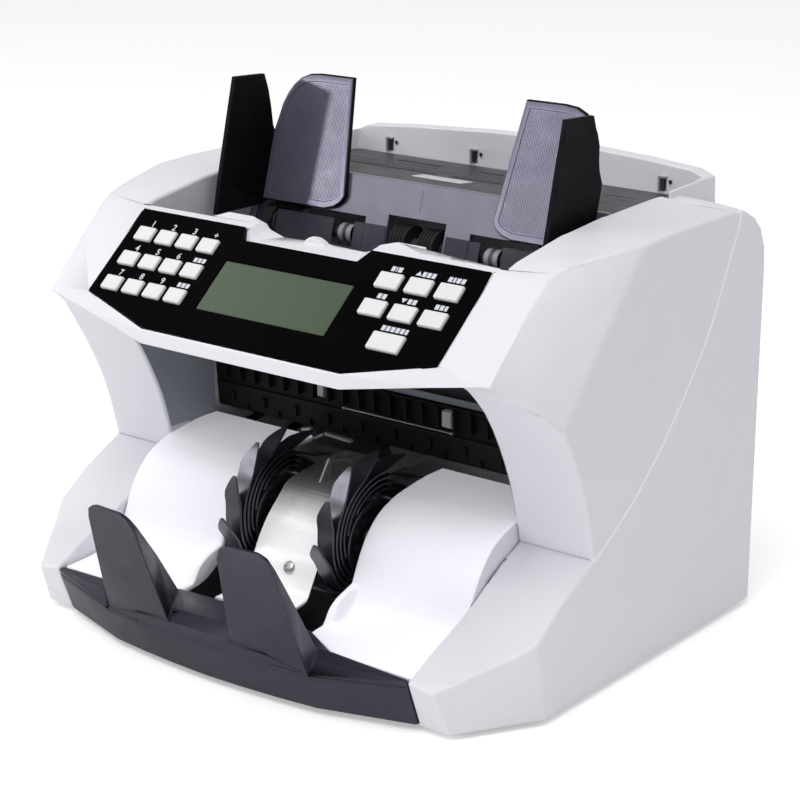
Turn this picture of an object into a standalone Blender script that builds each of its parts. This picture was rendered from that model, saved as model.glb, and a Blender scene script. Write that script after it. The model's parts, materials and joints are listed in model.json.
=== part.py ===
# Banknote counting machine: desktop counter with hopper, sloping control
# panel, output pocket with fan stacker wheels, and a bowed front trim.
# Blender 4.5.  Design coordinates are millimetres: X to the viewer's right
# from the front, Y towards the rear, Z up from the lower edge of the case.
# "right" and "left" are the viewer's, from the front.  world() turns design
# coordinates into metres about the centre of the footprint on the table.
import bpy
import bmesh
import math
from mathutils import Matrix, Vector

# ------------------------------------------------------------ driving sizes
SIDES = ((1, "right"), (-1, "left"))
HALF_W = 140.0          # half width of the case
FOOT_H = 3.0            # rubber feet stand this far below the case edge
Y_REF = 93.40           # design Y of the world origin
WALL = 3.0              # plastic wall
GAP = 0.35              # clearance round keys and in bores
FIT = 0.3               # clearance round seated pieces
POCKET_X = 101.4        # half width of the output pocket and hopper
INSERT_X = POCKET_X - 0.5    # half width of the pieces fitted between its walls

# control panel plane
SLOPE = 0.84            # rise over run
PLANE_Y = 52.7          # top edge of the panel
PLANE_Z = 180.8

# axes along X as (y, z), with the shafts on them
STACK_AXIS = (59.9, 46.7)
FEED_AXIS = (112.0, 127.0)
PICK_AXIS = (133.0, 163.0)
MOTOR_AXIS = (165.0, 62.0)
STACK_SHAFT_R = 3.0
FEED_SHAFT_R = 4.0
PICK_SHAFT_R = 3.0
SHAFT_END_X = 109.0

# mesh resolution
SHAFT_HOLE_SEGMENTS = 16
BORE_SEGMENTS = 20
TURNED_STEPS = 20
DRUM_SEGMENTS = 28      # rollers and motor

# ------------------------------------------------------------- clean start
for old_object in list(bpy.data.objects):
    bpy.data.objects.remove(old_object, do_unlink=True)
for old_mesh in list(bpy.data.meshes):
    bpy.data.meshes.remove(old_mesh)

PARTS = bpy.data.collections.new("banknote_counter")
CUTS = bpy.data.collections.new("cutters")
bpy.context.scene.collection.children.link(PARTS)
bpy.context.scene.collection.children.link(CUTS)


# --------------------------------------------------------------- materials
def make_material(name, color, roughness, metallic=0.0):
    made = bpy.data.materials.new(name)
    made.use_nodes = True
    inputs = made.node_tree.nodes["Principled BSDF"].inputs
    inputs["Base Color"].default_value = (*color, 1.0)
    inputs["Roughness"].default_value = roughness
    inputs["Metallic"].default_value = metallic
    made.diffuse_color = (*color, 1.0)
    return made


WHITE = make_material("case_white", color=(0.86, 0.85, 0.88), roughness=0.42)
CHARCOAL = make_material("trim_charcoal", color=(0.055, 0.052, 0.068), roughness=0.45)
SLATE = make_material("guide_slate", color=(0.10, 0.10, 0.14), roughness=0.45)
BLACK = make_material("inner_black", color=(0.012, 0.011, 0.013), roughness=0.5)
GLOSS_BLACK = make_material("panel_gloss_black", color=(0.006, 0.005, 0.006), roughness=0.12)
LCD_GREEN = make_material("lcd_green", color=(0.11, 0.15, 0.10), roughness=0.18)
KEY_WHITE = make_material("key_white", color=(0.88, 0.88, 0.88), roughness=0.38)
DECK_GREY = make_material("deck_grey", color=(0.21, 0.21, 0.22), roughness=0.5)
STEEL = make_material("steel", color=(0.55, 0.55, 0.56), roughness=0.28, metallic=1.0)
POLISHED = make_material("polished_plate", color=(0.82, 0.82, 0.83), roughness=0.14,
                         metallic=1.0)
RUBBER = make_material("rubber", color=(0.02, 0.02, 0.02), roughness=0.75)
FINGER_RUBBER = make_material("finger_rubber", color=(0.022, 0.021, 0.026), roughness=0.5)
BOARD_GREEN = make_material("circuit_board", color=(0.02, 0.12, 0.05), roughness=0.45)
NYLON = make_material("pinion_nylon", color=(0.75, 0.73, 0.66), roughness=0.5)


# ------------------------------------------------------------ solid builders
# Every builder without a material makes a hidden cutter.  Those along X take
# their two ends in either order, so that side * x can be passed directly.
def world(x, y, z):
    return Vector((x, y - Y_REF, z + FOOT_H)) * 0.001


def finish(name, build, material):
    """Turn a bmesh into a part, or into a cutter when it has no material."""
    bmesh.ops.recalc_face_normals(build, faces=build.faces[:])
    mesh = bpy.data.meshes.new(name)
    build.to_mesh(mesh)
    build.free()
    obj = bpy.data.objects.new(name, mesh)
    if material is None:
        CUTS.objects.link(obj)
        obj.hide_render = True
        obj.display_type = 'WIRE'
    else:
        mesh.materials.append(material)
        PARTS.objects.link(obj)
    return obj


def warp(face):
    """Distance of a quad's fourth corner from the plane of the other three."""
    first, second, third, fourth = (v.co for v in face.verts)
    normal = (second - first).cross(third - first)
    return abs((fourth - first).dot(normal)) / max(normal.length, 1e-12)


def loft(name, rings, material=None):
    """Closed solid through rings of world points, all with one count."""
    build = bmesh.new()
    rows = [[build.verts.new(point) for point in ring] for ring in rings]
    count = len(rows[0])
    for row, following in zip(rows[:-1], rows[1:]):
        for i in range(count):
            j = (i + 1) % count
            build.faces.new((row[i], row[j], following[j], following[i]))
    build.faces.new(rows[0][::-1])
    build.faces.new(rows[-1])
    # twisted quads become pairs of flat triangles
    twisted = [f for f in build.faces if len(f.verts) == 4 and warp(f) > 2e-6]
    if twisted:
        bmesh.ops.triangulate(build, faces=twisted)
    return finish(name, build, material)


def loft_x(name, sections, material=None):
    """Loft through (x, outline in (y, z)) sections."""
    return loft(name, [[world(x, y, z) for y, z in outline] for x, outline in sections],
                material)


def prism_x(name, outline, x0, x1, material=None):
    return loft_x(name, [(x, outline) for x in sorted((x0, x1))], material)


def prism_y(name, outline, y0, y1, material=None):
    return loft(name, [[world(x, y, z) for x, z in outline] for y in (y0, y1)], material)


def prism_z(name, outline, z0, z1, material=None):
    return loft(name, [[world(x, y, z) for x, y in outline] for z in (z0, z1)], material)


def box(name, x0, x1, y0, y1, z0, z1, material=None):
    build = bmesh.new()
    bmesh.ops.create_cube(build, size=1.0)
    low = world(min(x0, x1), y0, z0)
    high = world(max(x0, x1), y1, z1)
    middle = (low + high) / 2
    for v in build.verts:
        v.co = Vector((middle[i] + v.co[i] * (high[i] - low[i]) for i in range(3)))
    return finish(name, build, material)


def rod(name, radius, length, placing, material, segments):
    """Smooth-shaded cylinder along Z about the origin, moved by placing."""
    build = bmesh.new()
    bmesh.ops.create_cone(build, cap_ends=True, segments=segments, radius1=radius * 0.001,
                          radius2=radius * 0.001, depth=length * 0.001)
    bmesh.ops.transform(build, matrix=placing, verts=build.verts[:])
    obj = finish(name, build, material)
    obj.data.shade_smooth()
    obj.data.set_sharp_from_angle(angle=math.radians(35))
    return obj


def rod_x(name, radius, x0, x1, axis, material=None, segments=BORE_SEGMENTS):
    placing = (Matrix.Translation(world((x0 + x1) / 2, *axis))
               @ Matrix.Rotation(math.pi / 2, 4, 'Y'))
    return rod(name, radius, abs(x1 - x0), placing, material, segments)


def rod_z(name, radius, z0, z1, x, y, material=None, segments=BORE_SEGMENTS):
    placing = Matrix.Translation(world(x, y, (z0 + z1) / 2))
    return rod(name, radius, z1 - z0, placing, material, segments)


def turned_x(name, profile, axis, material):
    """Turned solid about an axis along X.  profile: (x, radius) pairs from
    the high-x end to the low-x end, starting and ending on the axis."""
    mesh = bpy.data.meshes.new(name)
    verts = [(radius * 0.001, 0.0, x * 0.001) for x, radius in profile]
    mesh.from_pydata(verts, [(i, i + 1) for i in range(len(verts) - 1)], [])
    mesh.materials.append(material)
    obj = bpy.data.objects.new(name, mesh)
    PARTS.objects.link(obj)
    obj.location = world(0, *axis)
    obj.rotation_euler = (0, math.pi / 2, 0)
    screw = obj.modifiers.new("turn", 'SCREW')
    screw.steps = screw.render_steps = TURNED_STEPS
    screw.use_merge_vertices = True
    screw.merge_threshold = 0.00005
    screw.use_smooth_shade = True
    return obj


def halfspace(name, point, normal):
    """Cutter block whose near face passes through point, on the side of normal."""
    build = bmesh.new()
    size = 0.5
    bmesh.ops.create_cube(build, size=size)
    turn = Vector((0, 0, 1)).rotation_difference(normal).to_matrix().to_4x4()
    placing = Matrix.Translation(world(*point) + normal * (size / 2)) @ turn
    bmesh.ops.transform(build, matrix=placing, verts=build.verts[:])
    return finish(name, build, None)


# ------------------------------------------------------- modifiers, origins
def boolean(obj, other, operation):
    modifier = obj.modifiers.new(operation.lower(), 'BOOLEAN')
    modifier.operation = operation
    modifier.object = other
    modifier.solver = 'EXACT'


def cut(obj, other):
    boolean(obj, other, 'DIFFERENCE')


def add(obj, other):
    boolean(obj, other, 'UNION')


def bevel(obj, width):
    modifier = obj.modifiers.new("bevel", 'BEVEL')
    modifier.width = width * 0.001
    modifier.segments = 1
    modifier.limit_method = 'ANGLE'
    modifier.angle_limit = math.radians(60)


def set_origin(obj, point):
    """Put the object's origin on a world point, geometry unmoved."""
    obj.data.transform(Matrix.Translation(obj.location - point))
    obj.location = point


# ---------------------------------------------------------- outline helpers
def mirrored(sections, middle=()):
    """Sections listed from the outside inwards at +x, repeated at -x."""
    return [(-x, outline) for x, outline in sections] + list(middle) + sections[::-1]


def rect(x0, x1, y0, y1):
    return [(x0, y0), (x1, y0), (x1, y1), (x0, y1)]


def offset_line(line, distance):
    """Polyline in (y, z) moved to its left, seen with y right and z up."""
    moved = []
    for i, (y, z) in enumerate(line):
        before = line[max(i - 1, 0)]
        after = line[min(i + 1, len(line) - 1)]
        along_y, along_z = after[0] - before[0], after[1] - before[1]
        length = math.hypot(along_y, along_z)
        moved.append((y - along_z / length * distance, z + along_y / length * distance))
    return moved


def mirror_normal(normal, side):
    return Vector((side * normal.x, normal.y, normal.z))


def cut_wall_holes(obj, name, axis, radius):
    """Clearance holes for one shaft in both plastic inner walls."""
    for side, tag in SIDES:
        cut(obj, rod_x("cut_%s_%s" % (name, tag[0]), radius, side * 99, side * 105.2, axis,
                       segments=SHAFT_HOLE_SEGMENTS))


# control panel frame: x, distance down the slope, distance out of the panel
SLOPE_LENGTH = math.hypot(1.0, SLOPE)
DOWN = Vector((0, -1.0 / SLOPE_LENGTH, -SLOPE / SLOPE_LENGTH))
OUT = Vector((0, -SLOPE / SLOPE_LENGTH, 1.0 / SLOPE_LENGTH))


def panel_point(x, down, out):
    return world(x, PLANE_Y, PLANE_Z) + (DOWN * down + OUT * out) * 0.001


def panel_prism(name, outline, out0, out1, material=None):
    """Prism of an (x, down) outline between two heights out of the panel."""
    return loft(name, [[panel_point(x, down, out) for x, down in outline]
                       for out in (out0, out1)], material)


def plane_z(y):
    return PLANE_Z + SLOPE * (y - PLANE_Y)


# ------------------------------------------------------------ front cover
# Section lines in (y, z).  The parting line with the rear housing runs from
# the rear top down to the front; the arch goes on up round the pocket mouth.
PARTING = [
    (181.0, 190.0), (178.6, 181.2), (174.2, 173.0), (168.3, 160.8), (160.2, 144.8),
    (150.4, 130.4), (137.0, 114.0), (121.8, 97.9), (100.4, 78.8), (84.5, 68.7), (70.3, 60.0)]
ARCH = [
    (69.7, 61.0), (68.5, 65.7), (66.9, 72.4), (64.6, 80.7), (61.9, 89.0), (58.4, 97.3),
    (54.2, 106.0), (49.6, 114.4), (43.8, 123.3), (38.2, 129.6), (31.2, 136.4), (22.0, 142.5)]
# top edge behind the panel: inner stations and outer stations
TOP_IN = [(57.7, 181.7), (64.6, 183.8), (79.2, 186.2), (97.8, 189.2),
          (126.4, 191.7), (166.7, 193.1), (176.0, 193.1)]
TOP_OUT = [(57.7, 183.4), (64.6, 185.0), (79.2, 187.1), (97.8, 189.0),
           (126.4, 190.4), (166.7, 190.6), (176.0, 190.4)]
# hollow of the cheeks beside the pocket, in (y, z)
CHEEK_CAVITY = [
    (26.0, 147.5), (40.0, 165.0), (54.5, 177.6), (60.0, 179.4), (84.0, 183.4),
    (106.0, 186.2), (147.0, 187.4), (195.0, 187.6), (195.0, 50.0), (84.0, 50.0),
    (73.0, 61.6), (71.6, 66.6), (70.2, 73.0), (68.0, 81.5), (65.7, 90.5), (62.0, 99.0),
    (57.6, 108.0), (52.6, 116.8), (46.5, 125.8), (40.6, 132.3), (33.2, 139.4)]
# flat facet on each cheek, facing outwards, forwards and up
FACET_NORMAL = Vector((0.9166, -0.2978, 0.2666)).normalized()
FACET_POINT = Vector((140.0, 105.0, 189.6))
# scoop in the rear edge: y, then (half width, z) from its top to its floor
SCOOP_STATIONS = (
    (40.0, ((37.0, 184.5), (35.0, 179.6), (31.5, 176.3))),
    (47.5, ((38.5, 184.5), (35.0, 179.8), (31.0, 176.4))),
    (70.0, ((47.0, 184.5), (31.0, 179.8), (20.0, 176.5))))
SCOOP_RIB = [(-9.0, 175.0), (-8.0, 178.0), (-5.5, 179.5), (-1.5, 179.5), (2.0, 178.0),
             (5.5, 175.0)]      # (x, z)
# windows through the bezel: x0, x1, down0, down1
BEZEL_WINDOWS = ((-95.5, -42.5, 7.0, 48.5), (-38.0, 41.0, 15.0, 49.0),
                 (44.5, 93.5, 7.0, 49.0))

# control panel outline
PANEL_TOP_X = 98.1      # half width of the top edge
PANEL_SIDE_DOWN = 48.3  # distance down the slope to the side corners
PANEL_SIDE_X = 98.4
PANEL_LOW_DOWN = 60.5   # distance down the slope to the lower edge
PANEL_LOW_X = 56.0
PANEL_T = 2.0
PANEL_BACK = -1.4       # back face, measured out of the panel plane


def cover_section(low, high, mid_drop, top_drop, top):
    """Nose points low and high, the panel plane lowered by the drops, top edge."""
    return ([low, high, (38.0, plane_z(38.0) - mid_drop), (PLANE_Y, PLANE_Z - top_drop)]
            + top + PARTING + ARCH)


def facet(side, inset, name):
    point = FACET_POINT - FACET_NORMAL * inset
    return halfspace("cut_facet_" + name, (side * point.x, point.y, point.z),
                     mirror_normal(FACET_NORMAL, side))


def bezel_space(front, back):
    """Section of the space behind the bezel, open to the pocket and hopper."""
    ceiling_y = 51.8
    ceiling = plane_z(ceiling_y) - 4.6
    step = back - 3.4
    return [(front, 40.0), (front, plane_z(front) - 3.9), (ceiling_y, ceiling),
            (step, ceiling), (step, 166.0), (back, 166.0), (back, 215.0),
            (215.0, 215.0), (215.0, 40.0)]


def cut_scoop(cover):
    """Shallow scoop in the middle of the rear edge; its mouth widens rearwards."""
    rings = []
    for y, half in SCOOP_STATIONS:
        line = [(-x, z) for x, z in half] + [(x, z) for x, z in half[::-1]]
        rings.append([world(x, y, z) for x, z in line])
    cut(cover, loft("cut_scoop", rings))
    add(cover, prism_y("add_scoop_rib", SCOOP_RIB, 59.8, 63.9))


def cut_panel_seat(cover):
    top_x = PANEL_TOP_X + FIT
    side_x, side_down = PANEL_SIDE_X + FIT, PANEL_SIDE_DOWN + FIT
    low_x, low_down = PANEL_LOW_X + 0.2, PANEL_LOW_DOWN + FIT
    outline = [(-top_x, -FIT), (top_x, -FIT), (side_x, side_down), (low_x, low_down),
               (-low_x, low_down), (-side_x, side_down)]
    cut(cover, panel_prism("cut_panel_seat", outline, PANEL_BACK - FIT, 8.0))


def build_front_cover():
    middle = cover_section((4.9, 134.6), (5.2, plane_z(5.2)), 0, 0, TOP_IN)
    shoulder = cover_section((12.6, 141.5), (15.6, plane_z(15.6)), 0, 0, TOP_IN)
    outer = cover_section((16.0, 145.4), (17.4, 147.0), 1.0, 0.4, TOP_OUT)
    cover = loft_x("front_cover", mirrored([
        (HALF_W, outer), (123, outer), (98.5, shoulder), (56, middle)]), WHITE)
    for side, tag in SIDES:
        cut(cover, facet(side, 0.0, "outer_" + tag[0]))
        cavity = prism_x("cut_cheek_" + tag[0], CHEEK_CAVITY,
                         side * (POCKET_X + WALL), side * (HALF_W - WALL))
        cut(cavity, facet(side, WALL, "inner_" + tag[0]))
        cut(cover, cavity)
    # the bezel's rear edge stands further back across the middle
    cut(cover, loft_x("cut_behind_bezel", mirrored([
        (POCKET_X, bezel_space(17.6, 57.8)), (98.5, bezel_space(17.0, 57.8)),
        (61.5, bezel_space(9.2, 57.8)), (56.0, bezel_space(8.2, 64.0))])))
    cut_scoop(cover)
    cut_panel_seat(cover)
    for k, window in enumerate(BEZEL_WINDOWS):
        cut(cover, panel_prism("cut_bezel_window_%d" % k, rect(*window), -8.0, 4.0))
    cut_wall_holes(cover, "feed", FEED_AXIS, FEED_SHAFT_R + 1.0)
    cut_wall_holes(cover, "pick", PICK_AXIS, PICK_SHAFT_R + 1.2)


# ----------------------------------------------------------- rear housing
PARTING_GAP = 0.42      # between the front cover and the rear housing
CENTRE_X = 103.4        # half width of the housing's straight middle
# upper edge of the low side walls, front to rear, in (y, z)
LEDGE_IN = [(-8.4, 22.1), (-1.0, 25.4), (6.0, 29.0), (14.0, 32.4), (22.0, 35.6),
            (34.0, 40.8), (46.0, 47.9), (60.0, 55.0), (69.2, 59.0)]
LEDGE_OUT = [(-7.8, 19.8), (-0.5, 23.0), (6.0, 26.0), (14.0, 28.6), (23.0, 32.0),
             (34.0, 38.9), (46.0, 47.5), (60.0, 54.8), (69.2, 59.0)]
# half width, ledge, and rear profile from top to bottom in (y, z)
HOUSING_STATIONS = (
    (HALF_W, LEDGE_OUT, [(184.6, 189.4), (193.8, 184.7), (200.7, 178.0), (204.2, 170.0),
                         (205.2, 160.0), (205.2, 0.0)]),
    (132, LEDGE_OUT, [(187.0, 189.8), (198.0, 186.0), (206.5, 180.5), (211.0, 174.0),
                      (212.8, 165.0), (212.8, 0.0)]),
    (118, LEDGE_OUT, [(188.0, 190.2), (202.0, 186.6), (212.5, 182.0), (217.5, 176.5),
                      (219.3, 168.0), (219.3, 0.0)]),
    (CENTRE_X, LEDGE_IN, [(190.0, 190.4), (204.0, 187.0), (216.0, 183.2), (221.0, 178.5),
                          (222.5, 170.0), (222.5, 0.0)]))
# top edge of the hopper's rear wall, from its end to the middle, in (x, z)
REAR_WALL_TOP = [(CENTRE_X, 194.6), (101.0, 195.6), (96.0, 197.6), (70.0, 199.8),
                 (41.0, 201.4), (18.0, 202.6), (0.0, 203.0)]
WINGS = [(182.4, 175.0), (207.0, 175.0), (207.0, 194.6), (182.4, 193.6)]    # (y, z)
NOSE_NORMAL = Vector((0.851, -0.525, -0.08)).normalized()
NOSE_POINT = Vector((117.8, 0.0, 0.0))
# hollow of the sides, in (y, z)
SIDE_CAVITY = [
    (9.0, -6.0), (1.0, 16.5), (8.0, 22.0), (22.0, 28.4), (34.0, 35.8), (46.0, 44.4),
    (60.6, 52.2), (70.6, 56.6), (71.6, 58.0), (71.6, 186.0), (184.6, 186.0),
    (192.0, 181.0), (197.0, 174.0), (201.8, 160.0), (201.8, -6.0)]
# space between the side walls, in (y, z)
CENTRE_SPACE = [(-60, -8), (219.4, -8), (219.4, 176.0), (212.8, 180.0), (212.8, 260.0),
                (-60, 260.0)]
HOOK_SLOT_X = (-80.7, -27.9, 27.9, 80.7)
HOOK_SLOT_HALF_W = 1.5
INLET_X = (56.0, 83.0)
INLET_Z = (30.0, 50.0)
SWITCH_OPENING_X = (31.7, 46.3)


def build_rear_housing():
    split = offset_line(PARTING, PARTING_GAP)[::-1]
    housing = loft_x("rear_housing", mirrored([
        (x, [(0.0, 0.0)] + ledge + split + rear) for x, ledge, rear in HOUSING_STATIONS]),
        WHITE)
    # raised rear wall of the hopper, its top edge gently arched
    wall = ([(-CENTRE_X, 172.0), (CENTRE_X, 172.0)] + REAR_WALL_TOP
            + [(-x, z) for x, z in REAR_WALL_TOP[-2::-1]])
    add(housing, prism_y("add_rear_wall", wall, 206.0, 221.6))
    add(housing, prism_x("add_wings", WINGS, -CENTRE_X, CENTRE_X))
    for side, tag in SIDES:
        normal = mirror_normal(NOSE_NORMAL, side)
        cut(housing, halfspace("cut_nose_" + tag[0], (side * NOSE_POINT.x, 0.0, 0.0), normal))
        cavity = prism_x("cut_rear_side_" + tag[0], SIDE_CAVITY,
                         side * (POCKET_X + WALL), side * (HALF_W - WALL))
        point = NOSE_POINT - NOSE_NORMAL * WALL
        cut(cavity, halfspace("cut_nose_in_" + tag[0],
                              (side * point.x, point.y, point.z), normal))
        cut(housing, cavity)
    cut(housing, prism_x("cut_centre", CENTRE_SPACE, -POCKET_X - FIT, POCKET_X + FIT))
    # openings on the back for the mains inlet and the rocker switch
    inlet_opening_x = (INLET_X[0] - FIT, INLET_X[1] + FIT)
    for name, (x0, x1) in (("cut_inlet", inlet_opening_x), ("cut_switch", SWITCH_OPENING_X)):
        cut(housing, box(name, x0, x1, 210, 230, INLET_Z[0] - FIT, INLET_Z[1] + FIT))
    # hook slots near the top of the rear wall
    for k, x in enumerate(HOOK_SLOT_X):
        cut(housing, box("cut_hook_%d" % k, x - HOOK_SLOT_HALF_W, x + HOOK_SLOT_HALF_W,
                         211.0, 216.0, 186.0, 192.5))
    cut_wall_holes(housing, "stack", STACK_AXIS, STACK_SHAFT_R + 1.0)


# -------------------------------------------------- front base trim + fins
# half width, then (y, z) points up the front face and back along the top
TRIM_STATIONS = (
    (101.3, [(-0.6, 0.0), (-7.2, 17.6), (-7.6, 19.4), (-8.4, 22.0), (-7.0, 22.3), (-6.0, 22.3)]),
    (58.4, [(-13.9, 0.0), (-19.4, 15.4), (-19.1, 16.9), (-18.8, 17.2), (-12.0, 20.0),
            (-3.9, 22.4)]),
    (38.0, [(-16.2, 0.0), (-20.8, 15.5), (-20.4, 17.0), (-21.8, 21.6), (-12.0, 23.4),
            (6.6, 23.4)]),
    (17.7, [(-17.6, 0.0), (-21.7, 15.5), (-21.2, 17.0), (-22.9, 22.8), (-12.0, 24.0),
            (6.6, 24.0)]),
    (0, [(-18.2, 0.0), (-22.4, 15.6), (-21.9, 17.2), (-23.6, 22.8), (-12.0, 24.2),
         (6.6, 24.2)]))
# z, then (x, y) of the outer front, inner front, inner rear and outer rear corners
FIN_RINGS = (
    (14.0, (58.4, -17.6), (18.4, -19.4), (39.0, 5.6), (53.0, -6.0)),
    (22.6, (57.6, -20.9), (17.8, -22.8), (37.8, 5.4), (52.6, -6.4)),
    (45.0, (55.6, -27.6), (20.6, -29.4), (33.0, -11.6), (51.4, -17.8)),
    (66.0, (53.4, -33.9), (23.2, -35.6), (27.4, -29.8), (50.4, -29.6)),
    (71.0, (51.6, -35.5), (26.0, -37.0), (28.6, -33.4), (49.4, -32.4)),
    (73.4, (48.0, -36.4), (30.0, -37.6), (31.4, -35.4), (46.6, -34.4)))


def trim_section(points):
    """Close a station with its two lower rear points."""
    back = max(points[-1][0], points[0][0] + 5.0)
    return points + [(back, 2.2), (back - 1.0, 0.0)]


def build_front_base_trim():
    sections = [(x, trim_section(points)) for x, points in TRIM_STATIONS]
    trim = loft_x("front_base_trim", mirrored(sections[:-1], sections[-1:]), CHARCOAL)
    for side, tag in SIDES:
        rings = [[world(side * x, y, z) for x, y in corners] for z, *corners in FIN_RINGS]
        add(trim, loft("add_fin_" + tag, rings))


# -------------------------------------------------------- bottom pan, feet
def build_base():
    box("bottom_pan", -101.0, 101.0, 8.5, 218.8, 0.3, 1.8, STEEL)
    for end, y in (("front", 24), ("rear", 200)):
        for side, tag in SIDES:
            foot = rod_z("foot_%s_%s" % (end, tag), 9.0, -FOOT_H, 0.0, side * 84, y,
                         RUBBER, segments=24)
            bevel(foot, 0.8)


# ------------------------------------------------- control panel and keys
LCD = (-34.6, 37.8, 18.8, 45.8)          # x0, x1, down0, down1
KEY_X = (-87.6, -74.7, -61.9, -49.1)     # keypad columns
KEY_DOWN = (13.6, 27.9, 42.1)            # key rows down the slope
KEY_SIZE = (10.2, 7.6)                   # sizes along x and down the slope
FKEY_X = (53.4, 69.1, 84.7)
FKEY_SIZE = (12.3, 8.1)
START_KEY_SIZE = (16.6, 8.8)
KEY_RISE = 1.8
KEYPAD_ROWS = (("key_1", "key_2", "key_3", "key_add"),
               ("key_4", "key_5", "key_6", "key_batch"),
               ("key_7", "key_8", "key_9", "key_0"))
FKEY_ROWS = (("fkey_mode", "fkey_up", "fkey_clear"),
             ("fkey_back", "fkey_down", "fkey_menu"))


def key_layout():
    """All keys as (name, x, down, size)."""
    keys = []
    for rows, columns, size in ((KEYPAD_ROWS, KEY_X, KEY_SIZE), (FKEY_ROWS, FKEY_X, FKEY_SIZE)):
        for down, row in zip(KEY_DOWN, rows):
            keys += [(name, x, down, size) for name, x in zip(row, columns)]
    keys.append(("fkey_start", FKEY_X[1] + 0.3, 42.9, START_KEY_SIZE))
    return keys


def grown_rect(x0, x1, down0, down1, margin):
    return rect(x0 - margin, x1 + margin, down0 - margin, down1 + margin)


def build_key(panel, name, x, down, size):
    half_w, half_d = size[0] / 2, size[1] / 2
    edges = (x - half_w, x + half_w, down - half_d, down + half_d)
    cut(panel, panel_prism("cut_" + name, grown_rect(*edges, GAP), -5, 5))
    key = panel_prism(name, rect(*edges), -5.2, KEY_RISE, KEY_WHITE)
    set_origin(key, panel_point(x, down, KEY_RISE))
    bevel(key, 0.7)


def build_control_panel():
    # the top edge is notched in the middle, below the scoop
    outline = [(-PANEL_TOP_X, 0.0), (-36.0, 0.0), (-32.0, 7.0), (32.0, 7.0), (36.0, 0.0),
               (PANEL_TOP_X, 0.0), (PANEL_SIDE_X, PANEL_SIDE_DOWN),
               (PANEL_LOW_X, PANEL_LOW_DOWN), (-PANEL_LOW_X, PANEL_LOW_DOWN),
               (-PANEL_SIDE_X, PANEL_SIDE_DOWN)]
    panel = panel_prism("control_panel", outline, PANEL_BACK, PANEL_BACK + PANEL_T,
                        GLOSS_BLACK)
    cut(panel, panel_prism("cut_lcd", grown_rect(*LCD, FIT), -5, 5))
    panel_prism("lcd_window", rect(*LCD), -1.6, 0.2, LCD_GREEN)
    for key in key_layout():
        build_key(panel, *key)
    panel_prism("control_board", rect(-95.0, 95.0, 7.5, 49.0), -9.8, -8.2, BOARD_GREEN)


# ------------------------------------------------------------ hopper parts
GUIDE_SLOPE = 0.29      # lean of the note guides and hopper back plate
GUIDE_Y, GUIDE_Z = 130.0, 180.7     # a point on the guides' front surface
GUIDE_T = 1.9
PLATE_FRONT, PLATE_BACK = 2.4, 4.9  # plate faces behind the guides' front surface
PLATE_LOW_Z, PLATE_TOP_Z = 155.5, 191.4
DECK_REAR_Y = 212.3
PINION_Y, PINION_R, PINION_TEETH = 156.0, 10.0, 16
PINION_POST_R = 3.0
TRAY = [(65.2, 172.0), (67.7, 172.0), (69.0, 165.8), (113.0, 154.7), (113.0, 152.1),
        (66.8, 163.2), (65.2, 165.0)]       # (y, z)
# notches in the plate's lower edge: tag, x0, x1, z0, z1
PLATE_NOTCHES = (("mid", -17.0, 16.0, 150.0, 175.5), ("l", -97.5, -30.5, 150.0, 173.0),
                 ("r", 30.5, 97.5, 150.0, 173.0))
# slots through the deck: x0, x1, y0, y1
DECK_SLOTS = ((-70, -18, 166, 169), (-8, 44, 166, 169), (-60, -34, 192, 195),
              (-10, 16, 192, 195))
# leaning face of a guide with its rounded outer shoulder, in (x, z)
GUIDE_FACE = [
    (42.7, 181.0), (44.6, 177.9), (48.4, 175.4), (54.0, 173.9), (93.0, 173.9),
    (93.0, 206.0), (91.4, 213.5), (90.4, 219.0), (88.4, 223.8), (85.6, 228.0),
    (81.6, 231.6), (76.6, 233.7), (70.0, 234.4), (49.3, 234.4)]
# wall on the guide's outer edge, in (y, z)
GUIDE_WALL = [
    (110.0, 235.2), (130.8, 234.2), (133.5, 226.4), (135.2, 218.0), (136.4, 209.0),
    (138.6, 203.4), (137.4, 198.0), (129.4, 171.5), (94.6, 171.5), (98.0, 187.6),
    (104.0, 211.6)]
GUIDE_ARM_REAR_Y = {"right": 149.0, "left": 169.4}


def guide_y(z, offset=0.0):
    """Y of the guides' front surface at height z, moved back by offset."""
    return GUIDE_Y + GUIDE_SLOPE * (z - GUIDE_Z) + offset


def build_hopper():
    prism_x("hopper_tray", TRAY, -INSERT_X, INSERT_X, BLACK)
    corners = ((PLATE_LOW_Z, PLATE_FRONT), (PLATE_TOP_Z, PLATE_FRONT),
               (PLATE_TOP_Z, PLATE_BACK), (PLATE_LOW_Z, PLATE_BACK))
    plate = prism_x("hopper_back_plate", [(guide_y(z, offset), z) for z, offset in corners],
                    -INSERT_X, INSERT_X, SLATE)
    for tag, x0, x1, z0, z1 in PLATE_NOTCHES:
        cut(plate, box("cut_plate_" + tag, x0, x1, 115, 150, z0, z1))


def build_rear_deck():
    front = PLATE_BACK + 0.5
    outline = [(guide_y(PLATE_TOP_Z, front), PLATE_TOP_Z), (150.0, 190.6),
               (DECK_REAR_Y, 184.9), (DECK_REAR_Y, 182.4), (150.0, 188.1),
               (guide_y(188.6, front), 188.6)]
    deck = prism_x("rear_deck", outline, -INSERT_X, INSERT_X, DECK_GREY)
    add(deck, rod_z("add_pinion_post", PINION_POST_R, 172.0, 189.0, 0, PINION_Y))
    for k, slot in enumerate(DECK_SLOTS):
        cut(deck, box("cut_deck_%d" % k, *slot, 180, 195))


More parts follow.
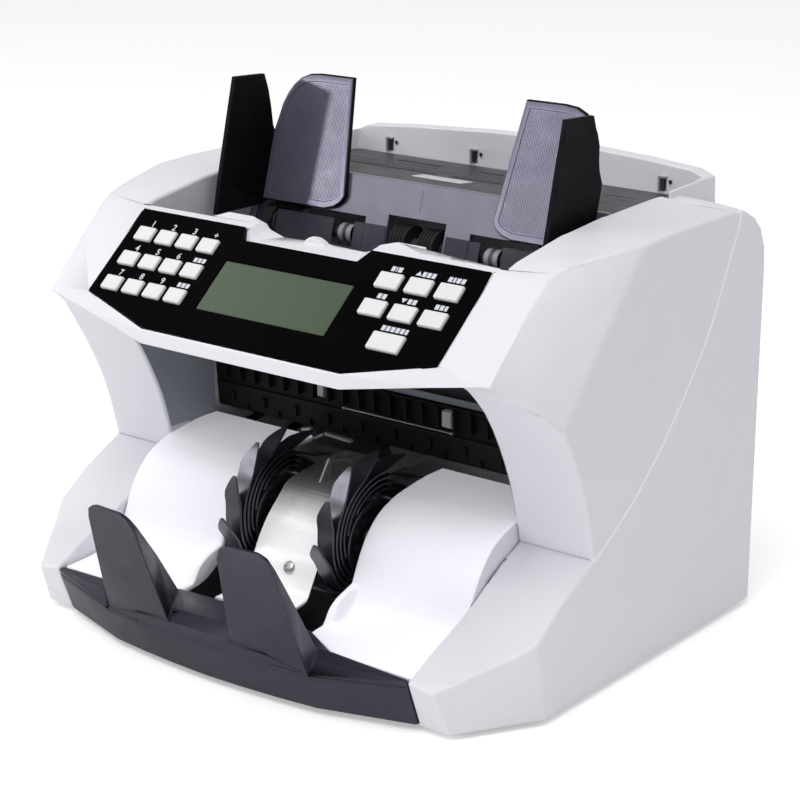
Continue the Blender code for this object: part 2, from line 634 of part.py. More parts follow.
def build_note_guide(side, tag):
    guide = loft("note_guide_" + tag, [
        [world(side * x, guide_y(z, offset), z) for x, z in GUIDE_FACE]
        for offset in (0.0, GUIDE_T)], SLATE)
    add(guide, prism_x("add_guide_wall_" + tag, GUIDE_WALL, side * 92.4, side * 95.0))
    add(guide, box("add_guide_foot_" + tag, side * 69.0, side * 85.0,
                   guide_y(175.0, 0.5), guide_y(172.0, GUIDE_T), 170.7, 175.6))
    add(guide, box("add_guide_arm_" + tag, side * 70.0, side * 84.0,
                   guide_y(175.0, 0.6), GUIDE_ARM_REAR_Y[tag], 170.7, 172.5))


# racks and pinion under the deck that tie the two guides together
TOOTH_PITCH = 2 * math.pi * PINION_R / PINION_TEETH
ADDENDUM, DEDENDUM = 0.95, 1.35
RACK_ROOT_HALF_W, RACK_TIP_HALF_W = 1.22, 0.5
RACK_END_MARGIN = 1.4       # least distance from a tooth's centre to the rack's end
RACK_BACK = 5.4             # pitch line to the back of the rack
PINION_ROOT_ANGLE, PINION_TIP_ANGLE = 0.112, 0.052      # half widths, radians


def rack_outline(x0, x1, side):
    """Toothed bar in (x, y); the right guide's has its teeth towards +Y."""
    phase = TOOTH_PITCH / 2
    pitch_y = PINION_Y - side * PINION_R
    root_y = pitch_y - side * DEDENDUM
    back_y = pitch_y - side * RACK_BACK
    first = math.ceil((x0 + RACK_END_MARGIN - phase) / TOOTH_PITCH)
    last = math.floor((x1 - RACK_END_MARGIN - phase) / TOOTH_PITCH)
    points = [(x0, back_y), (x0, root_y)]
    for n in range(first, last + 1):
        middle = phase + n * TOOTH_PITCH
        for offset, height in ((-RACK_ROOT_HALF_W, -DEDENDUM), (-RACK_TIP_HALF_W, ADDENDUM),
                               (RACK_TIP_HALF_W, ADDENDUM), (RACK_ROOT_HALF_W, -DEDENDUM)):
            points.append((middle + offset, pitch_y + side * height))
    return points + [(x1, root_y), (x1, back_y)]


def build_guide_rack(side, tag):
    x0, x1 = sorted((side * -9.0, side * 88.0))
    prism_z("guide_rack_" + tag, rack_outline(x0, x1, side), 172.9, 177.2, STEEL)


def build_guide_pinion():
    root_r, tip_r = PINION_R - DEDENDUM, PINION_R + ADDENDUM
    outline = []
    for n in range(PINION_TEETH):
        middle = 2 * math.pi * n / PINION_TEETH + math.pi / 2
        for offset, radius in ((-PINION_ROOT_ANGLE, root_r), (-PINION_TIP_ANGLE, tip_r),
                               (PINION_TIP_ANGLE, tip_r), (PINION_ROOT_ANGLE, root_r)):
            outline.append((radius * math.cos(middle + offset),
                            PINION_Y + radius * math.sin(middle + offset)))
    pinion = prism_z("guide_pinion", outline, 173.0, 177.0, NYLON)
    cut(pinion, rod_z("cut_pinion_bore", PINION_POST_R + GAP, 165, 185, 0, PINION_Y))
    set_origin(pinion, world(0, PINION_Y, 175.0))


# ------------------------------------------------------- pocket: ramps etc.
# All in (y, z), except the front trimming outline in (x, y).
RAMP_X = 38.0           # inner edge of each ramp
RAMP_SKIRT_X = 98.8     # inner face of each skirt
RAMP_TOP = [
    (99.0, 71.6), (85.0, 71.2), (69.0, 69.0), (62.0, 67.2), (54.6, 64.2), (49.0, 60.2),
    (44.0, 54.8), (40.6, 49.8), (38.2, 45.2), (35.8, 40.0), (33.6, 35.4), (30.4, 30.6),
    (25.0, 26.4), (18.0, 23.8), (8.0, 22.6), (-12.0, 22.0)]
RAMP_UNDERSIDE = [
    (-12.0, 19.6), (8.0, 20.2), (19.0, 21.4), (27.0, 24.6), (32.8, 29.4), (36.2, 34.6),
    (38.4, 39.2), (40.6, 44.2), (43.0, 48.6), (46.2, 53.2), (50.8, 58.2), (56.0, 61.8),
    (63.0, 64.7), (69.4, 66.5), (85.0, 68.7), (99.0, 69.1)]
RAMP_TOE = [(37.0, 36.0), (33.2, 35.8), (28.7, 34.6), (24.0, 33.0), (19.9, 30.8),
            (15.5, 24.4), (15.5, 21.0), (33.0, 27.6)]
RAMP_SKIRT = [
    (36.6, 38.6), (38.2, 43.6), (40.6, 48.2), (44.0, 53.2), (49.0, 58.6), (54.6, 62.7),
    (62.0, 65.7), (69.0, 67.6), (80.0, 69.0), (80.0, 60.0), (69.2, 56.4), (60.0, 52.4),
    (46.0, 45.2), (38.0, 39.2)]
RAMP_FRONT = [(36.0, 7.1), (38.0, 7.1), (58.6, -3.5), (102.6, -3.9), (102.6, -40.0),
              (36.0, -40.0)]
CHUTE_TOP = [
    (99.0, 68.6), (80.0, 68.0), (60.2, 65.6), (55.0, 62.0), (49.6, 57.2), (45.8, 53.4),
    (42.6, 49.4), (38.8, 43.6), (36.1, 38.3), (33.2, 31.6), (29.6, 27.2), (24.0, 24.9),
    (8.0, 24.0)]
CHUTE_UNDERSIDE = [
    (8.0, 22.5), (24.6, 23.4), (30.7, 26.1), (34.6, 31.0), (37.5, 37.7), (40.1, 42.8),
    (43.8, 48.5), (46.9, 52.3), (50.7, 56.1), (55.9, 60.8), (60.8, 64.2), (80.1, 66.5),
    (99.0, 67.1)]
DISCHARGE_COVER = [
    (38.0, 138.0), (100.2, 103.4), (102.2, 75.2), (103.0, 74.2), (109.0, 74.2),
    (109.0, 76.6), (104.4, 76.8), (102.5, 104.9), (39.1, 139.9)]


def build_ramp(side, tag):
    ramp = prism_x("ramp_" + tag, RAMP_TOP + RAMP_UNDERSIDE, side * RAMP_X,
                   side * INSERT_X, WHITE)
    add(ramp, prism_x("add_toe_" + tag, RAMP_TOE, side * RAMP_X, side * 42.5))
    # skirt that closes the gap between the ramp's outer edge and the ledge
    add(ramp, prism_x("add_skirt_" + tag, RAMP_SKIRT, side * RAMP_SKIRT_X, side * INSERT_X))
    cut(ramp, prism_z("cut_ramp_front_" + tag, [(side * x, y) for x, y in RAMP_FRONT], 0, 60))


def build_pocket():
    for side, tag in SIDES:
        build_ramp(side, tag)
    prism_x("centre_chute_plate", CHUTE_TOP + CHUTE_UNDERSIDE, -18.6, 18.6, POLISHED)
    # under the bezel: a ceiling that falls towards the rear, then an upright
    # wall above the stack, with a small lip at its foot
    prism_x("discharge_cover", DISCHARGE_COVER, -100.8, 100.8, BLACK)
    rod_x("sensor_rod", 0.8, -18.7, 45.3, (98.2, 89.4), STEEL, segments=12)


# ------------------------------------------------------------- stack wheels
WHEEL_X, WHEEL_W = 27.0, 9.0
WHEEL_TIP_R = 41.0
FINGERS = 13
FIRST_TIP_ANGLE = 84.0      # degrees from +Y towards +Z
FINGER_ROOT_R = 18.0        # where a finger's centre line begins
FINGER_START = 0.10         # fraction of the centre line where the outline begins
FINGER_STEPS = 6
FINGER_HALF_T = 0.85        # half thickness at the root
FINGER_TAPER = 0.45         # share of the thickness lost at the tip
FINGER_LEAN = 1.15          # tangent of the lean from the radius at the tip
FINGER_ROOT_CURL = 0.22     # extra turn at the root, radians
# turned lens that shapes the tips: x from the wheel's middle, radius
LENS_STATIONS = ((-4.9, 30.5), (-1.1, WHEEL_TIP_R + 0.1), (1.1, WHEEL_TIP_R + 0.1),
                 (4.9, 30.5))
LENS_SEGMENTS = 40


def finger_centre(tip_angle, along):
    """Point on a finger's spiral centre line; along is 0 at the root, 1 at the tip."""
    radius = FINGER_ROOT_R + (WHEEL_TIP_R - FINGER_ROOT_R) * along
    angle = (tip_angle + FINGER_LEAN * math.log(WHEEL_TIP_R / radius)
             + FINGER_ROOT_CURL * (1 - along) ** 2)
    return Vector((radius * math.cos(angle), radius * math.sin(angle)))


def finger_outline(tip_angle):
    """Outer face from root to tip, then inner face from tip to root."""
    outer, inner = [], []
    for i in range(FINGER_STEPS + 1):
        along = FINGER_START + (1.0 - FINGER_START) * i / FINGER_STEPS
        centre = finger_centre(tip_angle, along)
        tangent = (finger_centre(tip_angle, min(1.0, along + 0.01))
                   - finger_centre(tip_angle, along - 0.01))
        normal = Vector((-tangent.y, tangent.x)).normalized()
        if normal.dot(centre) < 0:
            normal = -normal
        half_t = FINGER_HALF_T * (1.0 - FINGER_TAPER * along)
        outer.append(centre + normal * half_t)
        inner.append(centre - normal * half_t)
    return outer + inner[::-1]


def wheel_outline():
    """Fan wheel of curved fingers, in (y, z)."""
    outline = []
    for i in reversed(range(FINGERS)):
        tip_angle = math.radians(FIRST_TIP_ANGLE + 360.0 * i / FINGERS)
        outline += [(STACK_AXIS[0] + point.x, STACK_AXIS[1] + point.y)
                    for point in finger_outline(tip_angle)]
    return outline


def lens_ring(x, radius):
    angles = [2 * math.pi * i / LENS_SEGMENTS for i in range(LENS_SEGMENTS)]
    return [world(x, STACK_AXIS[0] + radius * math.cos(angle),
                  STACK_AXIS[1] + radius * math.sin(angle)) for angle in angles]


def build_stacker_wheel(side, tag):
    x0 = side * WHEEL_X - WHEEL_W / 2
    x1 = x0 + WHEEL_W
    wheel = prism_x("stacker_wheel_" + tag, wheel_outline(), x0, x1, FINGER_RUBBER)
    # tips taper like a leaf: keep what lies inside the lens
    lens = loft("keep_lens_" + tag, [lens_ring(side * WHEEL_X + offset, radius)
                                     for offset, radius in LENS_STATIONS])
    boolean(wheel, lens, 'INTERSECT')
    cut(wheel, rod_x("cut_wheel_bore_" + tag, STACK_SHAFT_R + GAP, x0 - 3, x1 + 3, STACK_AXIS))
    set_origin(wheel, world(side * WHEEL_X, *STACK_AXIS))


# ------------------------------------------------------- shafts and rollers
STACK_PULLEY_R = 6.0
FEED_PULLEY_R = 10.0
PICK_PULLEY_R = 6.0
MOTOR_PULLEY_R = 8.0
STACK_PULLEY_X = (-98.4, -92.4)
DRIVE_PULLEY_X = (-91.4, -85.4)     # pulleys on the feed and pickup shafts
# name, axis, radius, middle |x|, width, shaft radius
ROLLERS = (("feed_roller_", FEED_AXIS, 14.0, 26.0, 16.0, FEED_SHAFT_R),
           ("pickup_roller_", PICK_AXIS, 9.0, 8.2, 9.0, PICK_SHAFT_R))


def shaft(name, axis, radius, collars, material=STEEL):
    """Shaft with collars or pulleys (x0, x1, radius)."""
    profile = [(SHAFT_END_X, 0.0), (SHAFT_END_X, radius)]
    for x0, x1, collar_r in sorted(collars, reverse=True):
        profile += [(x1, radius), (x1, collar_r), (x0, collar_r), (x0, radius)]
    profile += [(-SHAFT_END_X, radius), (-SHAFT_END_X, 0.0)]
    turned_x(name, profile, axis, material)


def build_shafts():
    shaft("stacker_shaft", STACK_AXIS, STACK_SHAFT_R, [(*STACK_PULLEY_X, STACK_PULLEY_R)])
    shaft("feed_shaft", FEED_AXIS, FEED_SHAFT_R, [(*DRIVE_PULLEY_X, FEED_PULLEY_R)])
    shaft("pickup_shaft", PICK_AXIS, PICK_SHAFT_R,
          [(38.6, 46.6, 4.5), (-46.6, -38.6, 4.5), (*DRIVE_PULLEY_X, PICK_PULLEY_R)],
          DECK_GREY)


def build_rollers(side, tag):
    for name, axis, radius, middle_x, width, shaft_r in ROLLERS:
        x0 = side * middle_x - width / 2
        x1 = x0 + width
        roller = rod_x(name + tag, radius, x0, x1, axis, RUBBER, segments=DRUM_SEGMENTS)
        cut(roller, rod_x("cut_" + name + tag, shaft_r + GAP, x0 - 2, x1 + 2, axis))
        set_origin(roller, world(side * middle_x, *axis))


# --------------------------------------------------------- frames and drive
FRAME = [
    (50.5, 8.0), (196.0, 8.0), (196.0, 158.0), (178.0, 174.0), (76.0, 174.0),
    (68.0, 160.0), (68.0, 130.0), (76.0, 108.0), (80.0, 85.0), (82.0, 66.0),
    (75.0, 60.0), (70.4, 54.2), (60.6, 51.0), (50.5, 45.8)]     # (y, z)
FRAME_SHAFTS = (("stack", STACK_AXIS, STACK_SHAFT_R), ("feed", FEED_AXIS, FEED_SHAFT_R),
                ("pick", PICK_AXIS, PICK_SHAFT_R))
# motor pulley and its stub shaft: x, radius
MOTOR_PULLEY = [(-69.0, 0.0), (-69.0, 3.0), (-84.8, 3.0), (-84.8, MOTOR_PULLEY_R),
                (-99.0, MOTOR_PULLEY_R), (-99.0, 0.0)]
BELT_CLEARANCE = 0.4        # from the pulley surface to the belt's inside
BELT_END_INSET = 0.4        # from a pulley's end to the belt's edge
HULL_SEGMENTS = 28


def build_side_frame(side, tag):
    frame = prism_x("side_frame_" + tag, FRAME, side * 104.9, side * 106.4, STEEL)
    for name, axis, radius in FRAME_SHAFTS:
        cut(frame, rod_x("cut_frame_%s_%s" % (name, tag), radius + FIT, side * 100,
                         side * 110, axis, segments=SHAFT_HOLE_SEGMENTS))


def build_motor():
    motor = rod_x("drive_motor", 21.0, -83.4, -28.0, MOTOR_AXIS, STEEL,
                  segments=DRUM_SEGMENTS)
    cut(motor, rod_x("cut_motor_shaft", 3.4, -90, -68, MOTOR_AXIS,
                     segments=SHAFT_HOLE_SEGMENTS))
    turned_x("motor_pulley", MOTOR_PULLEY, MOTOR_AXIS, STEEL)


def half_hull(points):
    """One side of the convex hull of points sorted along y."""
    chain = []
    for y, z in points:
        while len(chain) > 1:
            (y0, z0), (y1, z1) = chain[-2:]
            if (y1 - y0) * (z - z0) - (z1 - z0) * (y - y0) > 1e-6:
                break
            chain.pop()
        chain.append((y, z))
    return chain


def hull_of(pulleys, grow):
    """Convex outline round pulleys (axis, radius), each grown by grow."""
    points = set()
    for (y, z), radius in pulleys:
        for i in range(HULL_SEGMENTS):
            angle = 2 * math.pi * i / HULL_SEGMENTS
            points.add((round(y + (radius + grow) * math.cos(angle), 5),
                        round(z + (radius + grow) * math.sin(angle), 5)))
    points = sorted(points)
    return half_hull(points)[:-1] + half_hull(points[::-1])[:-1]


def belt(name, pulleys, pulley_x, thickness):
    """Closed belt loop round its pulleys, as a ring solid."""
    x0, x1 = pulley_x[0] + BELT_END_INSET, pulley_x[1] - BELT_END_INSET
    loop = prism_x(name, hull_of(pulleys, BELT_CLEARANCE + thickness), x0, x1, RUBBER)
    cut(loop, prism_x("cut_" + name, hull_of(pulleys, BELT_CLEARANCE), x0 - 2, x1 + 2))


def build_belts():
    motor = (MOTOR_AXIS, MOTOR_PULLEY_R)
    belt("stacker_belt", [motor, (STACK_AXIS, STACK_PULLEY_R)], STACK_PULLEY_X,
         thickness=1.2)
    belt("drive_belt", [motor, (FEED_AXIS, FEED_PULLEY_R), (PICK_AXIS, PICK_PULLEY_R)],
         DRIVE_PULLEY_X, thickness=1.6)


# ------------------------------------------------------ mains inlet, switch
SWITCH = [(213.0, 31.0), (223.6, 31.0), (222.2, 40.0), (224.4, 49.0), (213.0, 49.0)]  # (y, z)
INLET_WALL = 3.0


def build_mains_inlet():
    inlet = box("mains_inlet", *INLET_X, 203.0, 224.0, *INLET_Z, BLACK)
    cut(inlet, box("cut_inlet_socket", INLET_X[0] + INLET_WALL, INLET_X[1] - INLET_WALL,
                   209.0, 226.0, INLET_Z[0] + INLET_WALL, INLET_Z[1] - INLET_WALL))


def build_power_switch():
    switch = prism_x("power_switch", SWITCH, 32.6, 45.4, BLACK)
    set_origin(switch, world(39.0, 214.0, 40.0))


# ---------------------------------------------------------------- assembly
build_front_cover()
build_rear_housing()
build_front_base_trim()
build_base()
build_control_panel()
build_hopper()
build_rear_deck()
build_guide_pinion()
build_pocket()
build_shafts()
for side_sign, side_name in SIDES:
    build_note_guide(side_sign, side_name)
    build_guide_rack(side_sign, side_name)
    build_stacker_wheel(side_sign, side_name)
    build_rollers(side_sign, side_name)
    build_side_frame(side_sign, side_name)
build_motor()
build_belts()
build_mains_inlet()
build_power_switch()
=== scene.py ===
# Banknote counting machine: detailed meshes over the CAD frame, procedural
# materials, studio lights and camera.
# Lengths are design millimetres unless noted: X across the machine (right is
# positive), Y towards the rear, Z up from the case's lower edge.
import bpy
import bmesh
import json
from math import cos, exp, hypot, log, pi, radians, sin
from mathutils import Matrix, Vector

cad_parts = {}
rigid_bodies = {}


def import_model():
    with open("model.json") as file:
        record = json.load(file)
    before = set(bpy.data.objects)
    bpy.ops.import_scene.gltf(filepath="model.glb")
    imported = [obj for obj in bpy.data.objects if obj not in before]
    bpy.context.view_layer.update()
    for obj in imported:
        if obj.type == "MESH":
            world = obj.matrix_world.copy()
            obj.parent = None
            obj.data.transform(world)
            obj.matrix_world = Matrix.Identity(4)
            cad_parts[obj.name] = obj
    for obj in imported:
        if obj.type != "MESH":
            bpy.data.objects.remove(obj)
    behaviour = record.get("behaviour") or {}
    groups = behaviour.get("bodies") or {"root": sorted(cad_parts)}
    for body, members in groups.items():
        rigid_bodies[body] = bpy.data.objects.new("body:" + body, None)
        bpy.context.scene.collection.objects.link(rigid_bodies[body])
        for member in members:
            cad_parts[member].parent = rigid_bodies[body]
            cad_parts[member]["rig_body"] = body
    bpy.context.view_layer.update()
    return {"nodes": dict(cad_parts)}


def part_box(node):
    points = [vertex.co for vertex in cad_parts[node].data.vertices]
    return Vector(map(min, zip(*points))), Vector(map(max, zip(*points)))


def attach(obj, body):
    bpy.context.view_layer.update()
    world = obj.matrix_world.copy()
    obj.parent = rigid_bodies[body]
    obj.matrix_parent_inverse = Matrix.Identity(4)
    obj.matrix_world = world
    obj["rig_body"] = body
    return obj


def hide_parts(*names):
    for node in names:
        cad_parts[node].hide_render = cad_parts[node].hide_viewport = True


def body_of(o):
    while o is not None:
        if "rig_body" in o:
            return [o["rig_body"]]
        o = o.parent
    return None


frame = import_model()
NODES = frame["nodes"]
SCENE = bpy.context.scene
VISUAL = bpy.data.collections.new("visual")
SCENE.collection.children.link(VISUAL)
MADE = {}  # every added object by name

MM = 0.001
ORIGIN_Y = 93.4    # design Y of the frame's origin
FOOT_HEIGHT = 3.0  # case's lower edge above the floor
SIDES = ((1, "right"), (-1, "left"))

# axes across the machine, as (y, z)
STACKER_AXIS = (59.9, 46.7)
PICKUP_AXIS = (133.0, 163.0)
FEED_AXIS = (112.0, 127.0)
ROD_AXIS = (98.2, 89.4)

# sloping control panel: rise per mm of depth, and a point of its plane
PANEL_SLOPE = 0.84
PANEL_Y, PANEL_Z = 52.7, 180.8
SLOPE_LENGTH = hypot(1.0, PANEL_SLOPE)
PANEL_DOWN = Vector((0, -1.0 / SLOPE_LENGTH, -PANEL_SLOPE / SLOPE_LENGTH))
PANEL_OUT = Vector((0, -PANEL_SLOPE / SLOPE_LENGTH, 1.0 / SLOPE_LENGTH))

# joint between front cover and rear housing, (y, z) from the top forwards
PARTING = [(181.0, 190.0), (178.6, 181.2), (174.2, 173.0), (168.3, 160.8),
           (160.2, 144.8), (150.4, 130.4), (137.0, 114.0), (121.8, 97.9),
           (100.4, 78.8), (84.5, 68.7), (70.3, 60.0)]


# -------------------------------------------------------------- coordinates
def point(x, y, z):
    """Design millimetres to scene metres."""
    return Vector((x, y - ORIGIN_Y, z + FOOT_HEIGHT)) * MM


def to_mm(p):
    """Scene metres to design millimetres."""
    return Vector((p[0] * 1000, p[1] * 1000 + ORIGIN_Y, p[2] * 1000 - FOOT_HEIGHT))


def on_panel(x, down, lift):
    """Point down the panel's slope from its upper end and lifted off it."""
    return point(x, PANEL_Y, PANEL_Z) + (PANEL_DOWN * down + PANEL_OUT * lift) * MM


def guide_y(z, behind=0.0):
    """Y of the leaning plane of note guides and hopper plate."""
    return 130.0 + 0.29 * (z - 180.7) + behind


def wall_y(z):
    """Y of the discharge cover's upright wall."""
    return 100.2 + (103.4 - z) * 2.0 / 28.2


# ---------------------------------------------------------------- materials
class Material:
    """Node material with short calls; lengths in its textures are metres."""

    def __init__(self, name):
        self.data = bpy.data.materials.new(name)
        self.data.use_nodes = True
        self.tree = self.data.node_tree
        self.shader = self.tree.nodes["Principled BSDF"]
        self.coords = self.node("ShaderNodeTexCoord").outputs["Object"]

    def node(self, kind, **settings):
        node = self.tree.nodes.new(kind)
        for key, value in settings.items():
            setattr(node, key, value)
        return node

    def put(self, socket, value):
        if hasattr(value, "is_output"):
            self.tree.links.new(value, socket)
        elif isinstance(value, (tuple, list)) and socket.type == 'RGBA':
            socket.default_value = (*value[:3], 1.0)
        else:
            socket.default_value = value

    def set(self, name, value):
        self.put(self.shader.inputs[name], value)

    def scaled(self, x, y, z):
        node = self.node("ShaderNodeMapping")
        self.put(node.inputs["Vector"], self.coords)
        node.inputs["Scale"].default_value = (x, y, z)
        return node.outputs[0]

    def noise(self, scale, detail=4.0, rough=0.55, vector=None, distortion=0.0):
        node = self.node("ShaderNodeTexNoise")
        self.put(node.inputs["Vector"], vector or self.coords)
        node.inputs["Scale"].default_value = scale
        node.inputs["Detail"].default_value = detail
        node.inputs["Roughness"].default_value = rough
        node.inputs["Distortion"].default_value = distortion
        return node.outputs[0]

    def bands(self, scale, axis, vector):
        node = self.node("ShaderNodeTexWave", bands_direction=axis)
        self.put(node.inputs["Vector"], vector)
        node.inputs["Scale"].default_value = scale
        return node.outputs["Fac"]

    def remap(self, value, span=(0.3, 0.7), to=(0.0, 1.0)):
        node = self.node("ShaderNodeMapRange")
        self.put(node.inputs["Value"], value)
        for key, limit in zip(("From Min", "From Max", "To Min", "To Max"), (*span, *to)):
            node.inputs[key].default_value = limit
        return node.outputs[0]

    def math(self, operation, first, second):
        node = self.node("ShaderNodeMath", operation=operation)
        self.put(node.inputs[0], first)
        self.put(node.inputs[1], second)
        return node.outputs[0]

    def mix(self, factor, first, second):
        node = self.node("ShaderNodeMix", data_type='RGBA')
        for index, value in ((0, factor), (6, first), (7, second)):
            self.put(node.inputs[index], value)
        return node.outputs[2]

    def axis(self, which):
        node = self.node("ShaderNodeSeparateXYZ")
        self.put(node.inputs[0], self.coords)
        return node.outputs[which]

    def set_bump(self, height, depth):
        node = self.node("ShaderNodeBump")
        node.inputs["Strength"].default_value = 1.0
        node.inputs["Distance"].default_value = depth
        self.put(node.inputs["Height"], height)
        self.set("Normal", node.outputs[0])


def lerp(a, b, t):
    return tuple(x + (y - x) * t for x, y in zip(a, b))


def moulded(name, base, rough, *, grain=1900.0, depth=12e-6, mottle=0.04, spread=0.05,
            spec=0.5, tint=None, wear_and_highlight=None, dust=0.0, coat_rough=None):
    """Moulded plastic or rubber.  grain and depth: scale and height (m) of the
    surface grain; mottle: colour drift; spread: variation of roughness;
    wear_and_highlight: (amount, colour) on raised edges, partly wear and partly
    a painted highlight, with dust in the creases."""
    mat = Material(name)
    drift = mat.remap(mat.noise(scale=11.0, detail=5.0, rough=0.62))
    dark = tuple(c * (1 - 1.4 * mottle) for c in base)
    light = tuple(min(1.0, c * (1 + mottle)) for c in base)
    colour = mat.mix(drift, dark, light)
    fleck = mat.remap(mat.noise(scale=420.0, detail=2.0, rough=0.5),
                      span=(0.60, 0.78), to=(0.0, 0.35))
    grey_share = 0.04 if base[0] < 0.4 else 0.08
    colour = mat.mix(fleck, colour, lerp(base, (0.5, 0.5, 0.5), grey_share))
    if wear_and_highlight:
        amount, worn_highlight_colour = wear_and_highlight
        pointiness = mat.node("ShaderNodeNewGeometry").outputs["Pointiness"]
        crease = mat.remap(pointiness, span=(0.40, 0.49), to=(dust, 0.0))
        colour = mat.mix(crease, colour, lerp(base, (0.32, 0.30, 0.28), 0.5))
        # raised edges lightened: partly wear, partly a painted highlight
        worn_highlight = mat.math('MULTIPLY', mat.remap(pointiness, span=(0.52, 0.60)),
                        mat.remap(mat.noise(scale=60.0), span=(0.35, 0.65), to=(0.3, 1.0)))
        colour = mat.mix(mat.math('MULTIPLY', worn_highlight, amount), colour, worn_highlight_colour)
    mat.set("Base Color", colour)
    patches = mat.noise(scale=95.0, rough=0.6)
    mat.set("Roughness", mat.remap(patches, span=(0.25, 0.75),
                                   to=(rough - spread, rough + spread)))
    mat.set("Specular IOR Level", spec)
    if tint:
        mat.set("Specular Tint", tint)
    if coat_rough:
        mat.set("Coat Weight", 1.0)
        mat.set("Coat Roughness", coat_rough)
    mat.set_bump(mat.noise(scale=grain, detail=3.0, rough=0.6), depth)
    return mat.data


def brushed(name, base, rough, along):
    """Drawn or ground metal: fine lines along X or Y, soft stains."""
    mat = Material(name)
    stretch = {'X': (0.02, 1, 1), 'Y': (1, 0.02, 1)}[along]
    lines = mat.noise(scale=2400.0, detail=3.0, rough=0.6, vector=mat.scaled(*stretch))
    stain = mat.noise(scale=22.0, detail=5.0, rough=0.65)
    colour = mat.mix(mat.remap(lines, span=(0.35, 0.65)), tuple(c * 0.88 for c in base), base)
    colour = mat.mix(mat.remap(stain, span=(0.55, 0.8), to=(0.0, 0.35)), colour,
                     tuple(c * 0.72 for c in base))
    mat.set("Base Color", colour)
    mat.set("Metallic", 1.0)
    mat.set("Roughness", mat.remap(stain, to=(rough - 0.05, rough + 0.09)))
    mat.set("Anisotropic", 0.6)
    mat.set_bump(lines, depth=8e-6)
    return mat.data


def lcd_material():
    """Green display glass: fine grid, cloudy tone and a drift across X."""
    mat = Material("lcd_glass")
    vector = mat.scaled(1, 1, 1)
    columns = mat.bands(330.0, 'X', vector)
    rows = mat.bands(330.0, 'Y', vector)
    grid = mat.math('MAXIMUM', mat.remap(columns, span=(0.86, 1.0)),
                    mat.remap(rows, span=(0.86, 1.0)))
    cloud = mat.remap(mat.noise(scale=16.0, detail=3.0))
    across = mat.remap(mat.axis("X"), span=(-0.035, 0.038))
    colour = mat.mix(across, (0.080, 0.108, 0.070), (0.066, 0.092, 0.060))
    colour = mat.mix(mat.math('MULTIPLY', cloud, 0.25), colour, (0.090, 0.118, 0.082))
    colour = mat.mix(mat.math('MULTIPLY', grid, 0.22), colour, (0.054, 0.072, 0.048))
    mat.set("Base Color", colour)
    mat.set("Roughness", mat.remap(mat.noise(scale=70.0, detail=3.0), to=(0.16, 0.26)))
    mat.set("Specular IOR Level", 0.12)
    mat.set_bump(grid, depth=4e-6)
    return mat.data


def board_material():
    """Green circuit board: brick pattern for tracks, pale round pads."""
    mat = Material("board_green")
    tracks = mat.node("ShaderNodeTexBrick")
    mat.put(tracks.inputs["Vector"], mat.scaled(1, 1, 1))
    for key, value in (("Scale", 210.0), ("Color1", (0.012, 0.085, 0.034)),
                       ("Color2", (0.018, 0.120, 0.050)), ("Mortar", (0.035, 0.21, 0.09)),
                       ("Mortar Size", 0.035)):
        mat.put(tracks.inputs[key], value)
    cells = mat.node("ShaderNodeTexVoronoi")
    mat.put(cells.inputs["Vector"], mat.coords)
    cells.inputs["Scale"].default_value = 190.0
    pads = mat.remap(cells.outputs["Distance"], span=(0.10, 0.16), to=(1.0, 0.0))
    mat.set("Base Color", mat.mix(pads, tracks.outputs["Color"], (0.62, 0.60, 0.52)))
    mat.set("Roughness", mat.remap(mat.noise(scale=120.0), to=(0.32, 0.5)))
    mat.set_bump(tracks.outputs["Fac"], depth=30e-6)
    return mat.data


def panel_material():
    """Glossy black film over the keys, with faint wiping marks."""
    mat = Material("panel_film")
    smear = mat.noise(scale=40.0, detail=6.0, rough=0.7,
                      vector=mat.scaled(1.0, 0.35, 0.35), distortion=0.6)
    mat.set("Base Color", mat.mix(mat.remap(smear, span=(0.5, 0.8), to=(0.0, 0.5)),
                                  (0.0022, 0.0018, 0.0021), (0.0040, 0.0034, 0.0038)))
    mat.set("Roughness", mat.remap(smear, span=(0.3, 0.75), to=(0.10, 0.21)))
    mat.set("Specular IOR Level", 0.02)
    mat.set_bump(mat.noise(scale=150.0, detail=2.0), depth=6e-6)
    return mat.data


def plate_material():
    """Bright chute plate, darker towards its top: painted shade where it runs back into the
    pocket.
    """
    mat = Material("bright_plate")
    height = mat.axis("Z")
    lines = mat.noise(scale=1800.0, detail=3.0, rough=0.6, vector=mat.scaled(1, 0.03, 0.03))
    colour = mat.mix(mat.remap(lines), (0.90, 0.895, 0.905), (0.94, 0.935, 0.945))
    shade_height = mat.math('ADD', height, mat.remap(mat.noise(scale=40.0), to=(-0.001, 0.001)))
    # painted shade: grey, then near black, towards the plate's top
    colour = mat.mix(mat.remap(shade_height, span=(0.0550, 0.0665)), colour, (0.22, 0.215, 0.22))
    colour = mat.mix(mat.remap(shade_height, span=(0.0630, 0.0700)), colour, (0.050, 0.046, 0.047))
    mat.set("Base Color", colour)
    mat.set("Roughness", mat.remap(mat.noise(scale=60.0), to=(0.20, 0.30)))
    mat.set("Coat Weight", 0.5)
    mat.set("Coat Roughness", 0.08)
    mat.set_bump(lines, depth=5e-6)
    return mat.data


def floor_material():
    """White floor that glows more when the camera sees it directly."""
    mat = Material("studio_floor")
    mat.set("Base Color", mat.mix(mat.remap(mat.noise(scale=3.0)),
                                  (0.93, 0.93, 0.935), (0.95, 0.95, 0.955)))
    mat.set("Roughness", mat.remap(mat.noise(scale=20.0), to=(0.75, 0.9)))
    mat.set("Specular IOR Level", 0.1)
    seen = mat.node("ShaderNodeLightPath").outputs["Is Camera Ray"]
    mat.set("Emission Color", (1.0, 1.0, 1.0))
    mat.set("Emission Strength", mat.remap(seen, span=(0.0, 1.0), to=(0.06, 0.36)))
    return mat.data


